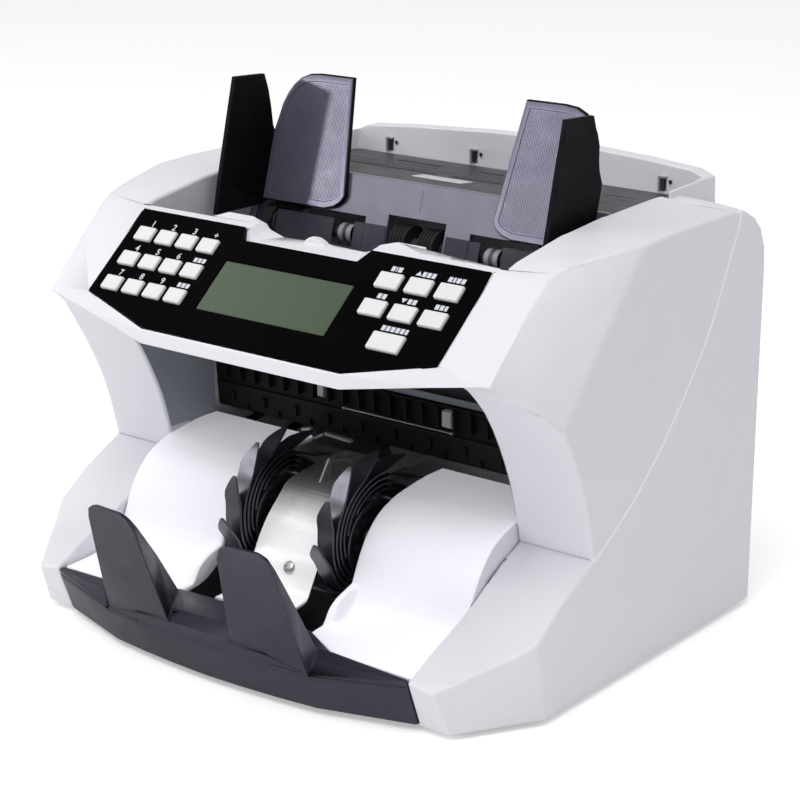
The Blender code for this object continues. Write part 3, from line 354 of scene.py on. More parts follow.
CASE_WHITE = moulded("case_plastic", (0.79, 0.778, 0.826), 0.44, grain=2600, depth=10e-6,
                     mottle=0.012, spec=0.42, wear_and_highlight=(0.35, (0.90, 0.89, 0.91)), dust=0.10)
RAMP_WHITE = moulded("ramp_plastic", (0.82, 0.812, 0.870), 0.40, grain=2200, depth=8e-6,
                     mottle=0.012, spec=0.42, wear_and_highlight=(0.3, (0.90, 0.89, 0.91)), dust=0.08)
CHARCOAL = moulded("trim_plastic", (0.023, 0.020, 0.034), 0.44, grain=2000, depth=18e-6,
                   mottle=0.06, spread=0.07, spec=0.42, tint=(0.93, 0.92, 1.0),
                   wear_and_highlight=(0.5, (0.12, 0.12, 0.15)), dust=0.25)
SLATE = moulded("guide_plastic", (0.084, 0.081, 0.130), 0.34, grain=2000, mottle=0.06,
                spread=0.04, spec=1.0, tint=(0.84, 0.84, 1.0),
                wear_and_highlight=(0.3, (0.12, 0.12, 0.16)), dust=0.1, coat_rough=0.34)
GUIDE_FACE = moulded("guide_face_plastic", (0.066, 0.064, 0.096), 0.5, grain=2000,
                     mottle=0.06, spec=0.35, tint=(0.84, 0.84, 1.0),
                     wear_and_highlight=(0.3, (0.14, 0.14, 0.18)), dust=0.1)
GUIDE_BLACK = moulded("guide_back_plastic", (0.0045, 0.0040, 0.0050), 0.46, grain=2200,
                      mottle=0.06, spec=0.05, wear_and_highlight=(0.25, (0.05, 0.05, 0.06)), dust=0.1)
BLACK = moulded("inner_plastic", (0.010, 0.0092, 0.0105), 0.46, depth=16e-6, mottle=0.08,
                spread=0.07, wear_and_highlight=(0.3, (0.05, 0.05, 0.055)), dust=0.2)
DULL_BLACK = moulded("dull_black_plastic", (0.0048, 0.0044, 0.0050), 0.60, depth=16e-6,
                     mottle=0.08, spread=0.07, spec=0.14,
                     wear_and_highlight=(0.2, (0.03, 0.03, 0.032)), dust=0.1)
# painted highlight: paler than the case, for the bright line along the joint
HIGHLIGHT_BEAD_WHITE = moulded("joint_highlight_plastic", (0.94, 0.935, 0.955), 0.40, grain=2200,
                     depth=6e-6, mottle=0.01, spread=0.04, spec=0.42)
# painted shade: bluish grey for the pocket's white side walls in shade
POCKET_SHADE_GREY = moulded("pocket_shade_plastic", (0.34, 0.37, 0.41), 0.5, spread=0.06, spec=0.3)
PALE_GREY = moulded("pale_grey_plastic", (0.60, 0.60, 0.63), 0.42, depth=10e-6,
                    mottle=0.03, spread=0.06)
# painted shade: bluish grey for a pale surface in shade above the ribs
BACKING_SHADE_GREY = moulded("backing_shade_plastic", (0.15, 0.165, 0.195), 0.5, spread=0.06, spec=0.3)
PANEL_FILM = panel_material()
LCD_GLASS = lcd_material()
KEY_WHITE = moulded("key_plastic", (0.74, 0.735, 0.745), 0.36, grain=1500, depth=6e-6,
                    mottle=0.015, spec=0.45, wear_and_highlight=(0.3, (0.92, 0.92, 0.92)), dust=0.05)
INK = moulded("legend_ink", (0.64, 0.66, 0.73), 0.5, grain=2500, depth=4e-6, mottle=0.03)
DECK_GREY = moulded("deck_plastic", (0.035, 0.033, 0.042), 0.48, depth=18e-6, spread=0.06,
                    wear_and_highlight=(0.3, (0.30, 0.30, 0.31)), dust=0.15)
LIGHT_GREY = moulded("bracket_plastic", (0.34, 0.34, 0.36), 0.40, grain=1800, depth=10e-6,
                     spread=0.06)
STEEL = brushed("drawn_steel", (0.56, 0.56, 0.57), 0.30, 'X')
ROD_STEEL = brushed("dull_rod_steel", (0.30, 0.30, 0.30), 0.5, 'X')
PAN_STEEL = brushed("pan_steel", (0.50, 0.50, 0.51), 0.36, 'Y')
BRIGHT_PLATE = plate_material()
RUBBER = moulded("roller_rubber", (0.011, 0.0105, 0.011), 0.66, grain=1300, depth=30e-6,
                 mottle=0.12, spread=0.08, spec=0.22,
                 wear_and_highlight=(0.35, (0.07, 0.07, 0.07)), dust=0.3)
FINGER_BLACK = moulded("finger_plastic", (0.0050, 0.0045, 0.0060), 0.34, grain=1700,
                       mottle=0.08, spec=1.0, tint=(0.86, 0.86, 1.0),
                       wear_and_highlight=(0.3, (0.10, 0.10, 0.13)), dust=0.1)
BOARD_GREEN = board_material()
NYLON = moulded("gear_nylon", (0.72, 0.70, 0.63), 0.42, grain=900, depth=10e-6, mottle=0.03,
                spread=0.06, spec=0.45, wear_and_highlight=(0.2, (0.80, 0.79, 0.74)), dust=0.2)

# CAD nodes not listed are keys or rubber parts
CAD_MATERIAL = {
    "bottom_pan": PAN_STEEL, "side_frame_left": PAN_STEEL, "side_frame_right": PAN_STEEL,
    "drive_motor": STEEL, "motor_pulley": STEEL, "stacker_shaft": STEEL,
    "feed_shaft": STEEL, "sensor_rod": STEEL, "guide_rack_left": STEEL,
    "guide_rack_right": STEEL, "pickup_shaft": DECK_GREY, "control_board": BOARD_GREEN,
    "guide_pinion": NYLON, "stacker_belt": RUBBER, "drive_belt": RUBBER,
    "hopper_tray": BLACK, "rear_deck": DECK_GREY, "hopper_back_plate": SLATE,
    "discharge_cover": BLACK, "mains_inlet": BLACK, "power_switch": BLACK,
    "front_cover": CASE_WHITE, "rear_housing": CASE_WHITE,
    "ramp_left": RAMP_WHITE, "ramp_right": RAMP_WHITE,
    "front_base_trim": CHARCOAL, "note_guide_left": SLATE, "note_guide_right": SLATE,
    "control_panel": PANEL_FILM, "lcd_window": LCD_GLASS, "centre_chute_plate": BRIGHT_PLATE,
    "stacker_wheel_left": FINGER_BLACK, "stacker_wheel_right": FINGER_BLACK,
}
for name, obj in NODES.items():
    obj.data.materials.clear()
    obj.data.materials.append(CAD_MATERIAL.get(name, KEY_WHITE if "key" in name else RUBBER))


# --------------------------------------------------------------- mesh tools
def add(name, mesh, material, body, nodes=()):
    """Put a mesh in the scene, riding on a body and replacing CAD nodes."""
    obj = bpy.data.objects.new(name, mesh)
    VISUAL.objects.link(obj)
    mesh.materials.clear()
    mesh.materials.append(material)
    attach(obj, body)
    if nodes:
        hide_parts(*nodes)
    MADE[name] = obj
    return obj


def finish_mesh(solid, mesh, sharp_angle):
    """Write a bmesh into a mesh, smooth but for edges over the angle."""
    solid.to_mesh(mesh)
    solid.free()
    mesh.shade_smooth()
    mesh.set_sharp_from_angle(angle=radians(sharp_angle))


def add_solid(name, solid, material, nodes=(), body="chassis", angle=32.0,
              mesh_name=None):
    mesh = bpy.data.meshes.new(mesh_name or name)
    finish_mesh(solid, mesh, angle)
    return add(name, mesh, material, body, nodes)


def add_bevel(obj, width, segments, limit):
    bevel = obj.modifiers.new("round", 'BEVEL')
    bevel.width = width * MM
    bevel.segments = segments
    bevel.limit_method = limit
    bevel.use_clamp_overlap = False
    bevel.harden_normals = True
    return bevel


def from_stacker(p):
    return hypot(p.y - STACKER_AXIS[0], p.z - STACKER_AXIS[1])


def warp(face):
    """Largest distance of a face's corners from its mean plane, in metres."""
    centre = face.calc_center_median()
    return max(abs((v.co - centre).dot(face.normal)) for v in face.verts)


def refine(node, name, material, width, min_angle, segments=2, radius_at=None):
    """A cleaner copy of a CAD node's surface with rounded edges.  radius_at
    gives an edge's radius from its middle; all edges get width without it."""
    mesh = NODES[node].data.copy()
    mesh.name = name
    solid = bmesh.new()
    solid.from_mesh(mesh)
    bmesh.ops.remove_doubles(solid, verts=solid.verts[:], dist=0.02 * MM)
    # facets that meet the stacker shaft's clearance holes stay as they are
    rim = {v for v in solid.verts
           if 95.0 < abs(to_mm(v.co).x) < 110.0 and from_stacker(to_mm(v.co)) < 9.0}
    bmesh.ops.dissolve_limit(solid, angle_limit=radians(0.5),
                             verts=[v for v in solid.verts if v not in rim],
                             edges=[e for e in solid.edges if not rim & set(e.verts)])
    warped = [f for f in solid.faces if len(f.verts) > 4 and warp(f) > 2e-5]
    if warped:
        bmesh.ops.triangulate(solid, faces=warped)
    weight = solid.edges.layers.float.new("bevel_weight_edge")
    for edge in solid.edges:
        if len(edge.link_faces) != 2 or edge.calc_face_angle(0.0) < radians(min_angle):
            continue
        middle = (to_mm(edge.verts[0].co) + to_mm(edge.verts[1].co)) / 2
        radius = radius_at(middle) if radius_at else width
        edge[weight] = max(0.0, min(1.0, radius / width))
    finish_mesh(solid, mesh, 40.0)
    obj = add(name, mesh, material, body_of(NODES[node])[0], (node,))
    add_bevel(obj, width, segments, 'WEIGHT')


def loft(rings):
    """Closed solid through rings of equal point counts."""
    solid = bmesh.new()
    rows = [[solid.verts.new(p) for p in ring] for ring in rings]
    count = len(rows[0])
    for a, b in zip(rows[:-1], rows[1:]):
        for i in range(count):
            j = (i + 1) % count
            solid.faces.new((a[i], a[j], b[j], b[i]))
    solid.faces.new(rows[0][::-1])
    solid.faces.new(rows[-1])
    bmesh.ops.recalc_face_normals(solid, faces=solid.faces[:])
    return solid


def across(outline, *stations):
    """A (y, z) outline lofted through stations along X."""
    return loft([[point(x, y, z) for y, z in outline] for x in stations])


def merge(solids):
    """One bmesh out of several."""
    merged = bmesh.new()
    for solid in solids:
        mesh = bpy.data.meshes.new("tmp")
        solid.to_mesh(mesh)
        solid.free()
        merged.from_mesh(mesh)
        bpy.data.meshes.remove(mesh)
    return merged


def turned(profile, axis, x=0.0, segments=48):
    """Ring about an X axis at (y, z).  profile: closed loop of (x, radius)."""
    solid = bmesh.new()
    rows = []
    for i in range(segments):
        t = 2 * pi * i / segments
        rows.append([solid.verts.new(point(px + x, axis[0] + r * cos(t), axis[1] + r * sin(t)))
                     for px, r in profile])
    count = len(profile)
    for i in range(segments):
        a, b = rows[i], rows[(i + 1) % segments]
        for k in range(count):
            m = (k + 1) % count
            solid.faces.new((a[k], a[m], b[m], b[k]))
    bmesh.ops.remove_doubles(solid, verts=solid.verts[:], dist=1e-7)
    bmesh.ops.recalc_face_normals(solid, faces=solid.faces[:])
    return solid


def mirrored(half):
    """Full (x, radius) profile from its left half."""
    return half + [(-x, r) for x, r in reversed(half)]


def spline(line, steps):
    """Catmull-Rom curve through a line, with steps per span."""
    curve = []
    last = len(line) - 1
    for i in range(last):
        corners = line[max(i - 1, 0)], line[i], line[i + 1], line[min(i + 2, last)]
        for k in range(steps):
            t = k / steps
            curve.append(tuple(0.5 * (2 * b + (c - a) * t + (2 * a - 5 * b + 4 * c - d) * t * t +
                                      (3 * b - a - 3 * c + d) * t ** 3)
                               for a, b, c, d in zip(*corners)))
    curve.append(line[-1])
    return curve


def with_normals(line):
    """(y, z, normal y, normal z) along a line that runs forwards; normals point up."""
    for i, (y, z) in enumerate(line):
        before, after = line[max(i - 1, 0)], line[min(i + 1, len(line) - 1)]
        dy, dz = after[0] - before[0], after[1] - before[1]
        length = hypot(dy, dz)
        yield y, z, dz / length, -dy / length


def sunk(line, depth):
    """A forward-running line moved below itself along its normals."""
    return [(y - ny * depth, z - nz * depth) for y, z, ny, nz in with_normals(line)]


def interpolate(line, at, outside=None):
    """Second column of a line where its first column is at."""
    for (a, value_a), (b, value_b) in zip(line[:-1], line[1:]):
        if min(a, b) <= at <= max(a, b):
            return value_b + (value_a - value_b) * (at - b) / (a - b)
    return outside


def from_parting(y, z):
    """Distance from the parting line."""
    best = 1e9
    for (ya, za), (yb, zb) in zip(PARTING[:-1], PARTING[1:]):
        dy, dz = yb - ya, zb - za
        t = max(0.0, min(1.0, ((y - ya) * dy + (z - za) * dz) / (dy * dy + dz * dz)))
        best = min(best, hypot(y - ya - dy * t, z - za - dz * t))
    return best


# ------------------------------------------------------------------- shells
FRONT_RADIUS, REAR_RADIUS = 1.7, 1.6  # general edge radii


def front_cover_radius(middle):
    side, y, z = abs(middle.x), middle.y, middle.z
    # corners beside the front lip, the lip itself, and the edges further out
    if 97.0 < side < 106.0 and y < 19.0 and 138.0 < z < 152.0:
        return 0.0
    if y < 14.0 and side < 97.0 and z > 136.5:
        return 0.6
    if 106.0 <= side < 127.5 and y < 23.0 and 141.0 < z < 149.5:
        return 0.55
    if from_parting(y, z) < 0.25:
        return 0.25
    # edges of the panel's recess, rounder at the lower end and the sides
    above_panel = (z - (PANEL_Z + PANEL_SLOPE * (y - PANEL_Y))) / SLOPE_LENGTH
    inside = side < 101.0
    if -9.0 < above_panel < 0.6 and 3.0 < y < 53.0 and inside:
        if abs(above_panel) < 0.3 and (y < 14.0 or side > 98.2):
            return 0.9
        return 0.25
    # behind the panel, and the crest just above it
    if inside and y > 64.5:
        return 0.3
    if inside and z > 174.0 and 40.0 < y < 65.0:
        return 0.8
    # between the panel's width and the side walls
    if 103.5 < side < 137.5 and y > 24 and z < 188:
        return 0.0
    return FRONT_RADIUS


def rear_housing_radius(middle):
    side, y, z = abs(middle.x), middle.y, middle.z
    if from_parting(y, z) < 0.9:
        return 0.25
    # lower edge, then the upper outer edges
    if z < 0.5 or (side > 103.0 and z > 178.0):
        return 0.5
    # the rims of the shaft's clearance holes keep their full size
    if side < 110.0 and from_stacker(middle) < 9.0:
        return 0.0
    # edges of the deck opening
    if side < 104.6 and (y > 205 or z > 186):
        return 0.7
    if y > 185 and side < 104.0:
        return 0.5
    return REAR_RADIUS


refine("front_cover", "front_cover_shell", CASE_WHITE, width=FRONT_RADIUS,
       min_angle=15.0, segments=3, radius_at=front_cover_radius)
refine("rear_housing", "rear_housing_shell", CASE_WHITE, width=REAR_RADIUS,
       min_angle=15.0, segments=3, radius_at=rear_housing_radius)
refine("front_base_trim", "front_trim_moulding", CHARCOAL,
       width=0.75, min_angle=16.0)
refine("rear_deck", "rear_deck_moulding", DECK_GREY, width=0.5, min_angle=12.0)
refine("hopper_tray", "hopper_tray_moulding", BLACK, width=0.4, min_angle=16.0)
refine("hopper_back_plate", "hopper_plate_moulding", SLATE,
       width=0.4, min_angle=30.0)
for tag in ("left", "right"):
    refine("note_guide_" + tag, "note_guide_%s_frame" % tag, GUIDE_BLACK,
           width=0.45, min_angle=30.0)


def joint_highlight_bead():
    """Pale bead in the joint between front cover and rear housing; its slope catches light, and
    its colour, paler than the case, is a painted highlight.
    """
    front, rear = sunk(PARTING, -0.45), sunk(PARTING, 0.80)
    inner_x, front_x, rear_x = 138.2, 139.7, 140.25
    parts = []
    for side in (1, -1):
        for quad in zip(front[:-1], front[1:], rear[1:], rear[:-1]):
            outer = zip(quad, (front_x, front_x, rear_x, rear_x))
            parts.append(loft([[point(side * inner_x, y, z) for y, z in quad],
                               [point(side * x, y, z) for (y, z), x in outer]]))
    add_solid("joint_highlight_bead", merge(parts), HIGHLIGHT_BEAD_WHITE)


joint_highlight_bead()

# ------------------------------------------------------ ramps of the pocket
# (y, z) from the rear forwards: the ramp's top, and the raised inner toe
RAMP = [(99.0, 71.6), (85.0, 71.2), (69.0, 69.0), (62.0, 67.2), (54.6, 64.2), (49.0, 60.2),
        (44.0, 54.8), (40.6, 49.8), (38.2, 45.2), (35.8, 40.0), (33.6, 35.4), (30.4, 30.6),
        (25.0, 26.4), (18.0, 23.8), (8.0, 22.6)]
TOE = [(37.5, 37.6), (33.2, 35.9), (28.7, 34.6), (24.0, 33.0), (19.9, 30.6), (17.2, 27.4),
       (15.5, 23.6)]
# (y, z) of the skirt's lower edge, from the front backwards
LEDGE_LOW = [(38.0, 39.2), (46.0, 45.2), (60.0, 52.4), (69.2, 56.4), (80.0, 60.0)]
RAMP_FINE = spline(RAMP, 6)
RAMP_THICK = 2.4
# (distance from the centre, y) of the front edge
FRONT_EDGE = [(38.0, 7.1), (58.6, -3.5), (102.6, -3.9)]
# (distance behind the front edge, drop) of the rounded front lip
FRONT_LIP = [(5.0, 0.0), (1.2, 0.05), (0.5, 0.12), (0.12, 0.45), (0.0, 0.9)]
# (distance from the centre, drop of the surface, share of the toe's height)
RAMP_STATIONS = [
    (38.0, 1.1, 1.0), (38.12, 0.7, 1.0), (38.4, 0.32, 1.0), (38.9, 0.08, 1.0),
    (39.6, 0.0, 1.0), (41.4, 0.0, 0.98), (42.3, 0.0, 0.75), (43.0, 0.0, 0.40),
    (44.0, 0.0, 0.14), (45.5, 0.0, 0.03), (48.2, 0.0, 0.0), (53.4, 0.0, 0.0),
    (58.6, 0.0, 0.0), (70.0, 0.0, 0.0), (85.0, 0.0, 0.0), (99.9, 0.0, 0.0),
    (100.5, 0.12, 0.0), (100.9, 0.5, 0.0)]
SKIRT_STATIONS = (98.8, 100.4, 101.15)


def ramp_section(side, x, drop, toe):
    top = []
    for y, z, ny, nz in with_normals(RAMP_FINE):
        raised = z + max(0.0, interpolate(TOE, y, outside=z) - z) * toe
        top.append((y - ny * drop, raised - nz * drop))
    front = interpolate(FRONT_EDGE, x)
    end_y, end_z = RAMP[-1]
    for back, fall in FRONT_LIP:
        y = front + back
        top.append((y, end_z - (end_y - y) * 0.03 - fall - drop))
    low = sunk(RAMP_FINE, RAMP_THICK) + [(front, 20.2)]
    return [point(side * x, y, z) for y, z in top + low[::-1]]


def ramp(side, tag):
    body = loft([ramp_section(side, *station) for station in RAMP_STATIONS])
    # skirt between the ramp's outer edge and the ledge
    outline = [(y + 0.3, z - 0.55) for y, z in RAMP_FINE if 36.8 < y < 80.5] + LEDGE_LOW
    skirt = across(outline, *(side * x for x in SKIRT_STATIONS))
    add_solid("ramp_%s_moulding" % tag, merge([body, skirt]), RAMP_WHITE,
              ("ramp_" + tag,), angle=42, mesh_name="ramp_" + tag)


for side, tag in SIDES:
    ramp(side, tag)

# ------------------------------------------------------------- centre plate
# (y, z) of the plate's top, from the rear forwards
CHUTE = [(99.0, 68.6), (80.0, 68.0), (60.2, 65.6), (55.0, 62.0), (49.6, 57.2), (45.8, 53.4),
         (42.6, 49.4), (38.8, 43.6), (36.1, 38.3), (33.2, 31.6), (29.6, 27.2), (24.0, 24.9),
         (8.0, 24.0)]
CHUTE_THICK = 1.4
# (x, drop of the surface)
CHUTE_STATIONS = [(-18.6, 0.5), (-18.45, 0.2), (-18.1, 0.0), (-9.0, 0.0), (0.0, 0.0),
                  (9.0, 0.0), (18.1, 0.0), (18.45, 0.2), (18.6, 0.5)]


def chute_plate():
    line = list(with_normals(spline(CHUTE, 6)))

    def side(x, drop):
        # lowered points lean forwards, the mirror image of the normal in Y
        return [point(x, y + ny * drop, z - nz * drop) for y, z, ny, nz in line]
    rings = [side(x, drop) + side(x, CHUTE_THICK)[::-1] for x, drop in CHUTE_STATIONS]
    add_solid("chute_plate_sheet", loft(rings), BRIGHT_PLATE,
              ("centre_chute_plate",), angle=50)


# screw on the plate: (distance out along its axis, radius)
SCREW = [(-1.0, 3.1), (0.4, 3.1), (1.0, 2.8), (1.4, 2.1), (1.6, 1.2), (1.2, 0.9), (1.2, 0.3)]
SCREW_CENTRE = (3.0, 33.9, 35.0)
SCREW_OUT = (-0.80, 0.60)  # (y, z) direction of its axis


def plate_screw():
    x, y, z = SCREW_CENTRE
    out_y, out_z = SCREW_OUT
    rings = []
    for out, radius in SCREW:
        ring = []
        for i in range(28):
            t = 2 * pi * i / 28
            up = radius * sin(t)
            ring.append(point(x + radius * cos(t), y + out_y * out + up * out_z,
                              z + out_z * out - up * out_y))
        rings.append(ring)
    add_solid("plate_screw", loft(rings), STEEL, angle=35)


chute_plate()
add_solid("plate_deflector", across([(61.5, 65.2), (69.5, 66.2), (69.5, 75.2), (68.4, 75.2)],
                                    -3.4, -2.4), LIGHT_GREY)
plate_screw()

# ---------------------------------------------------------- discharge cover
# (y, z) section of the cover: sloping roof, upright wall and foot
COVER = [(38.0, 138.0), (97.8, 107.4), (99.2, 106.0), (99.9, 104.2), (102.1, 76.2),
         (102.6, 74.8), (103.4, 74.2), (109.0, 74.2), (109.0, 76.6), (104.6, 76.8),
         (103.6, 77.8), (102.0, 106.6), (100.4, 108.8), (39.1, 139.9)]
COVER_HALF = 100.8
BLOCK_BACK, BLOCK_CHAMFER = 0.4, 0.25  # depth into the wall, chamfer of the face
RAIL_HALF = 100.2


def wall_block(left, right, low, high, out):
    """Chamfered block standing out of the upright wall."""
    def ring(y, inset):
        return [point(left + inset, wall_y(low) + y, low + inset),
                point(right - inset, wall_y(low) + y, low + inset),
                point(right - inset, wall_y(high) + y, high - inset),
                point(left + inset, wall_y(high) + y, high - inset)]
    return loft([ring(BLOCK_BACK, 0.0), ring(BLOCK_CHAMFER - out, 0.0),
                 ring(-out, BLOCK_CHAMFER)])


def discharge_cover():
    parts = [across(COVER, -COVER_HALF, COVER_HALF)]
    for i in range(21):
        x = -92.0 + 9.2 * i
        parts.append(wall_block(x - 0.5, x + 0.5, 90.6, 101.0, out=3.6))
    for x in range(-90, 91, 20):
        parts.append(wall_block(x - 0.7, x + 0.7, 78.6, 83.4, out=1.8))
        parts.append(wall_block(x + 8.0, x + 9.2, 75.6, 78.4, out=1.6))
    parts.append(wall_block(-RAIL_HALF, RAIL_HALF, 85.6, 87.6, out=1.1))
    parts.append(wall_block(-RAIL_HALF, RAIL_HALF, 101.0, 102.0, out=2.4))
    add_solid("discharge_cover_moulding", merge(parts), DULL_BLACK,
              ("discharge_cover",), angle=30, mesh_name="discharge_cover")


discharge_cover()
# grey backing above the ribs: a pale surface in shade, and its bluish grey is painted shade
add_solid("bezel_backing", wall_block(-RAIL_HALF, RAIL_HALF, 102.4, 106.0, out=0.8),
          BACKING_SHADE_GREY)

# (y, z) outline of grey sheets on the pocket's white side walls; their bluish grey is painted
# shade
POCKET_SHADE_OUTLINE = [(68.5, 71.2), (65.8, 80.7), (63.1, 89.0), (59.6, 97.3), (55.4, 106.0),
          (50.8, 114.4), (45.0, 123.3), (39.4, 129.6), (37.4, 132.0), (40.2, 136.0),
          (97.4, 106.8), (99.2, 105.2), (99.5, 68.6), (81.4, 68.6), (81.4, 71.4)]
add_solid("pocket_wall_shade_sheets",
          merge([across(POCKET_SHADE_OUTLINE, side * 101.02, side * 101.3) for side in (1, -1)]),
          POCKET_SHADE_GREY)


def rod_clip(left, right, low, high):
    """Clip with chamfered front edges; its top is shifted to the right."""
    front = 97.2
    rings = []
    for shift, y, z in ((0.6, front, high), (0.0, front - 1.2, high - 0.8),
                        (0.0, front - 1.2, low + 0.8), (0.0, front, low)):
        rings.append([point(left + shift, y, z), point(right + shift, y, z),
                      point(right + shift, front + 2.4, z), point(left + shift, front + 2.4, z)])
    return loft(rings)


def sensor_rod():
    bar = turned([(-18.7, 0.25), (-18.4, 0.5), (45.0, 0.5), (45.3, 0.25)], ROD_AXIS,
                 segments=16)
    ends = [turned(mirrored([(-0.8, 0.3), (-0.8, 0.75)]), ROD_AXIS, x, 20)
            for x in (-17.9, 44.5)]
    add_solid("sensor_rod_bar", merge([bar] + ends), ROD_STEEL, ("sensor_rod",))


def foot_tongues():
    """Small pale tongues at the foot of the cover."""
    height = 1.3
    parts = []
    # top edge of each: left x, z and right x, z
    for left, left_z, right, right_z in ((-41.8, 68.4, -31.6, 74.2), (-30.6, 74.6, -14.8, 73.9),
                                         (-45.0, 74.0, -39.4, 75.2)):
        parts.append(loft([[point(left, y, left_z), point(right, y, right_z),
                            point(right, y, right_z - height), point(left, y, left_z - height)]
                           for y in (98.6, 100.6)]))
    add_solid("foot_tongues", merge(parts), LIGHT_GREY)


add_solid("rod_clips", merge([rod_clip(-32.4, -29.0, 92.6, 99.4),
                              rod_clip(40.6, 45.4, 92.0, 100.6)]), LIGHT_GREY)
sensor_rod()
foot_tongues()

# ----------------------------------------------------- keys, legends and LCD
KEY_ROWS = (13.6, 27.9, 42.1)  # distances down the panel
# (name, x, distance down the panel, width, depth)
NUMBER_KEYS = [(name, x, row, 10.2, 7.6)
               for row, names in zip(KEY_ROWS, (("key_1", "key_2", "key_3", "key_add"),
                                                ("key_4", "key_5", "key_6", "key_batch"),
                                                ("key_7", "key_8", "key_9", "key_0")))
               for x, name in zip((-87.6, -74.7, -61.9, -49.1), names)]
FUNCTION_KEYS = [(name, x, row, 12.3, 8.1)
                 for row, names in zip(KEY_ROWS, (("fkey_mode", "fkey_up", "fkey_clear"),
                                                  ("fkey_back", "fkey_down", "fkey_menu")))
                 for x, name in zip((53.4, 69.1, 84.7), names)]
FUNCTION_KEYS.append(("fkey_start", 69.4, 42.9, 16.6, 8.8))
# (lift off the panel, inset) of the cap's and the glass pane's outlines
CAP_RINGS = [(-5.2, 0.0), (0.6, 0.0), (1.25, 0.12), (1.5, 0.22), (1.68, 0.38), (1.78, 0.62),
             (1.8, 0.95), (1.74, 1.8), (1.7, 2.6)]
LCD_RINGS = [(-1.6, 0.0), (0.02, 0.0), (0.14, 0.12), (0.17, 0.4), (0.17, 1.6)]
LCD_LEFT, LCD_RIGHT, LCD_TOP, LCD_BOTTOM = -34.6, 37.8, 18.8, 45.8
PRINT_LIFT, PRINT_THICK = 0.62, 0.05
# keys with bars in place of a character
BARRED = ("key_batch", "key_0")
# (x offset, bar widths) above each function key, in their order
FUNCTION_BARS = [(0.5, (1.8, 0.6, 2.2)), (1.6, (1.9,) * 3), (0.3, (1.9, 1.2, 1.9, 1.9)),
                 (1.0, (2.0, 2.0)), (1.2, (1.9, 1.9)), (0.6, (1.9, 1.9, 1.4)),
                 (0.6, (1.9,) * 5 + (1.4,))]
# (x offset, 1 pointing up the panel or -1 down)
ARROWS = {"fkey_up": (-3.6, 1), "fkey_down": (-3.2, -1)}


def round_rect(x, down, width, depth, radius, lift, inset, segments):
    """Rounded rectangle parallel to the panel, centred at x, down."""
    half_x, half_down = width / 2 - inset, depth / 2 - inset
    radius = max(0.05, radius - inset)
    ring = []
    for sign_x, sign_down, start in ((1, 1, 0), (-1, 1, 90), (-1, -1, 180), (1, -1, 270)):
        for i in range(segments + 1):
            t = radians(start + 90 * i / segments)
            ring.append(on_panel(x + sign_x * (half_x - radius) + radius * cos(t),
                                 down + sign_down * (half_down - radius) + radius * sin(t),
                                 lift))
    return ring


def glyph(text, x, down, size=4.6):
    """Printed character lying on the panel."""
    curve = bpy.data.curves.new("g", 'FONT')
    curve.body = text
    curve.size = size * MM
    curve.extrude = 0.00002
    curve.offset = 0.00006
    curve.align_x = 'CENTER'
    curve.align_y = 'CENTER'
    curve.resolution_u = 3
    obj = bpy.data.objects.new("g", curve)
    SCENE.collection.objects.link(obj)
    turn = Matrix((Vector((1, 0, 0)), -PANEL_DOWN, PANEL_OUT)).transposed().to_4x4()
    obj.matrix_world = Matrix.Translation(on_panel(x, down, PRINT_LIFT)) @ turn
    bpy.context.view_layer.update()
    depsgraph = bpy.context.evaluated_depsgraph_get()
    mesh = bpy.data.meshes.new_from_object(obj.evaluated_get(depsgraph))
    mesh.transform(obj.matrix_world)
    solid = bmesh.new()
    solid.from_mesh(mesh)
    bpy.data.objects.remove(obj)
    bpy.data.meshes.remove(mesh)
    bmesh.ops.remove_doubles(solid, verts=solid.verts[:], dist=1e-7)
    return solid


def printed(outline):
    """Thin printed shape from (x, down) points."""
    return loft([[on_panel(x, down, lift) for x, down in outline]
                 for lift in (PRINT_LIFT, PRINT_LIFT + PRINT_THICK)])


def bars(x, down, widths, height=2.5):
    """Row of printed bars centred at x."""
    gap = 0.55
    left = x - (sum(widths) + gap * (len(widths) - 1)) / 2
    row = []
    for width in widths:
        row.append(printed([(left, down - height / 2), (left + width, down - height / 2),
                            (left + width, down + height / 2), (left, down + height / 2)]))
        left += width + gap
    return row


def arrow(x, down, up):
    size = 1.5
    return printed([(x - size, down + up * size * 0.7), (x + size, down + up * size * 0.7),
                    (x, down - up * size * 0.8)])


for name, x, down, width, depth in NUMBER_KEYS + FUNCTION_KEYS:
    cap = loft([round_rect(x, down, width, depth, 0.9, lift, inset, 5)
                for lift, inset in CAP_RINGS])
    add_solid(name + "_cap", cap, KEY_WHITE, (name,), body=name, angle=60)

digits, marks = [], []
for name, x, down, width, depth in NUMBER_KEYS:
    above = down - depth / 2 - 2.3
    if name in BARRED:
        marks += bars(x + 0.8, above, (1.9, 1.9, 1.9), height=2.4)
    else:
        digits.append(glyph("+" if name == "key_add" else name[-1], x + 0.9, above))
for (name, x, down, width, depth), (offset, widths) in zip(FUNCTION_KEYS, FUNCTION_BARS):
    above = down - depth / 2 - 2.4
    if name in ARROWS:
        arrow_offset, up = ARROWS[name]
        marks.append(arrow(x + arrow_offset, above, up))
    marks += bars(x + offset, above, widths)
add_solid("keypad_digits", merge(digits), INK)
add_solid("function_marks", merge(marks), INK)

pane = loft([round_rect((LCD_LEFT + LCD_RIGHT) / 2, (LCD_TOP + LCD_BOTTOM) / 2,
                        LCD_RIGHT - LCD_LEFT, LCD_BOTTOM - LCD_TOP, 0.8, lift, inset, 4)
             for lift, inset in LCD_RINGS])
add_solid("lcd_glass_pane", pane, LCD_GLASS, ("lcd_window",), angle=50)

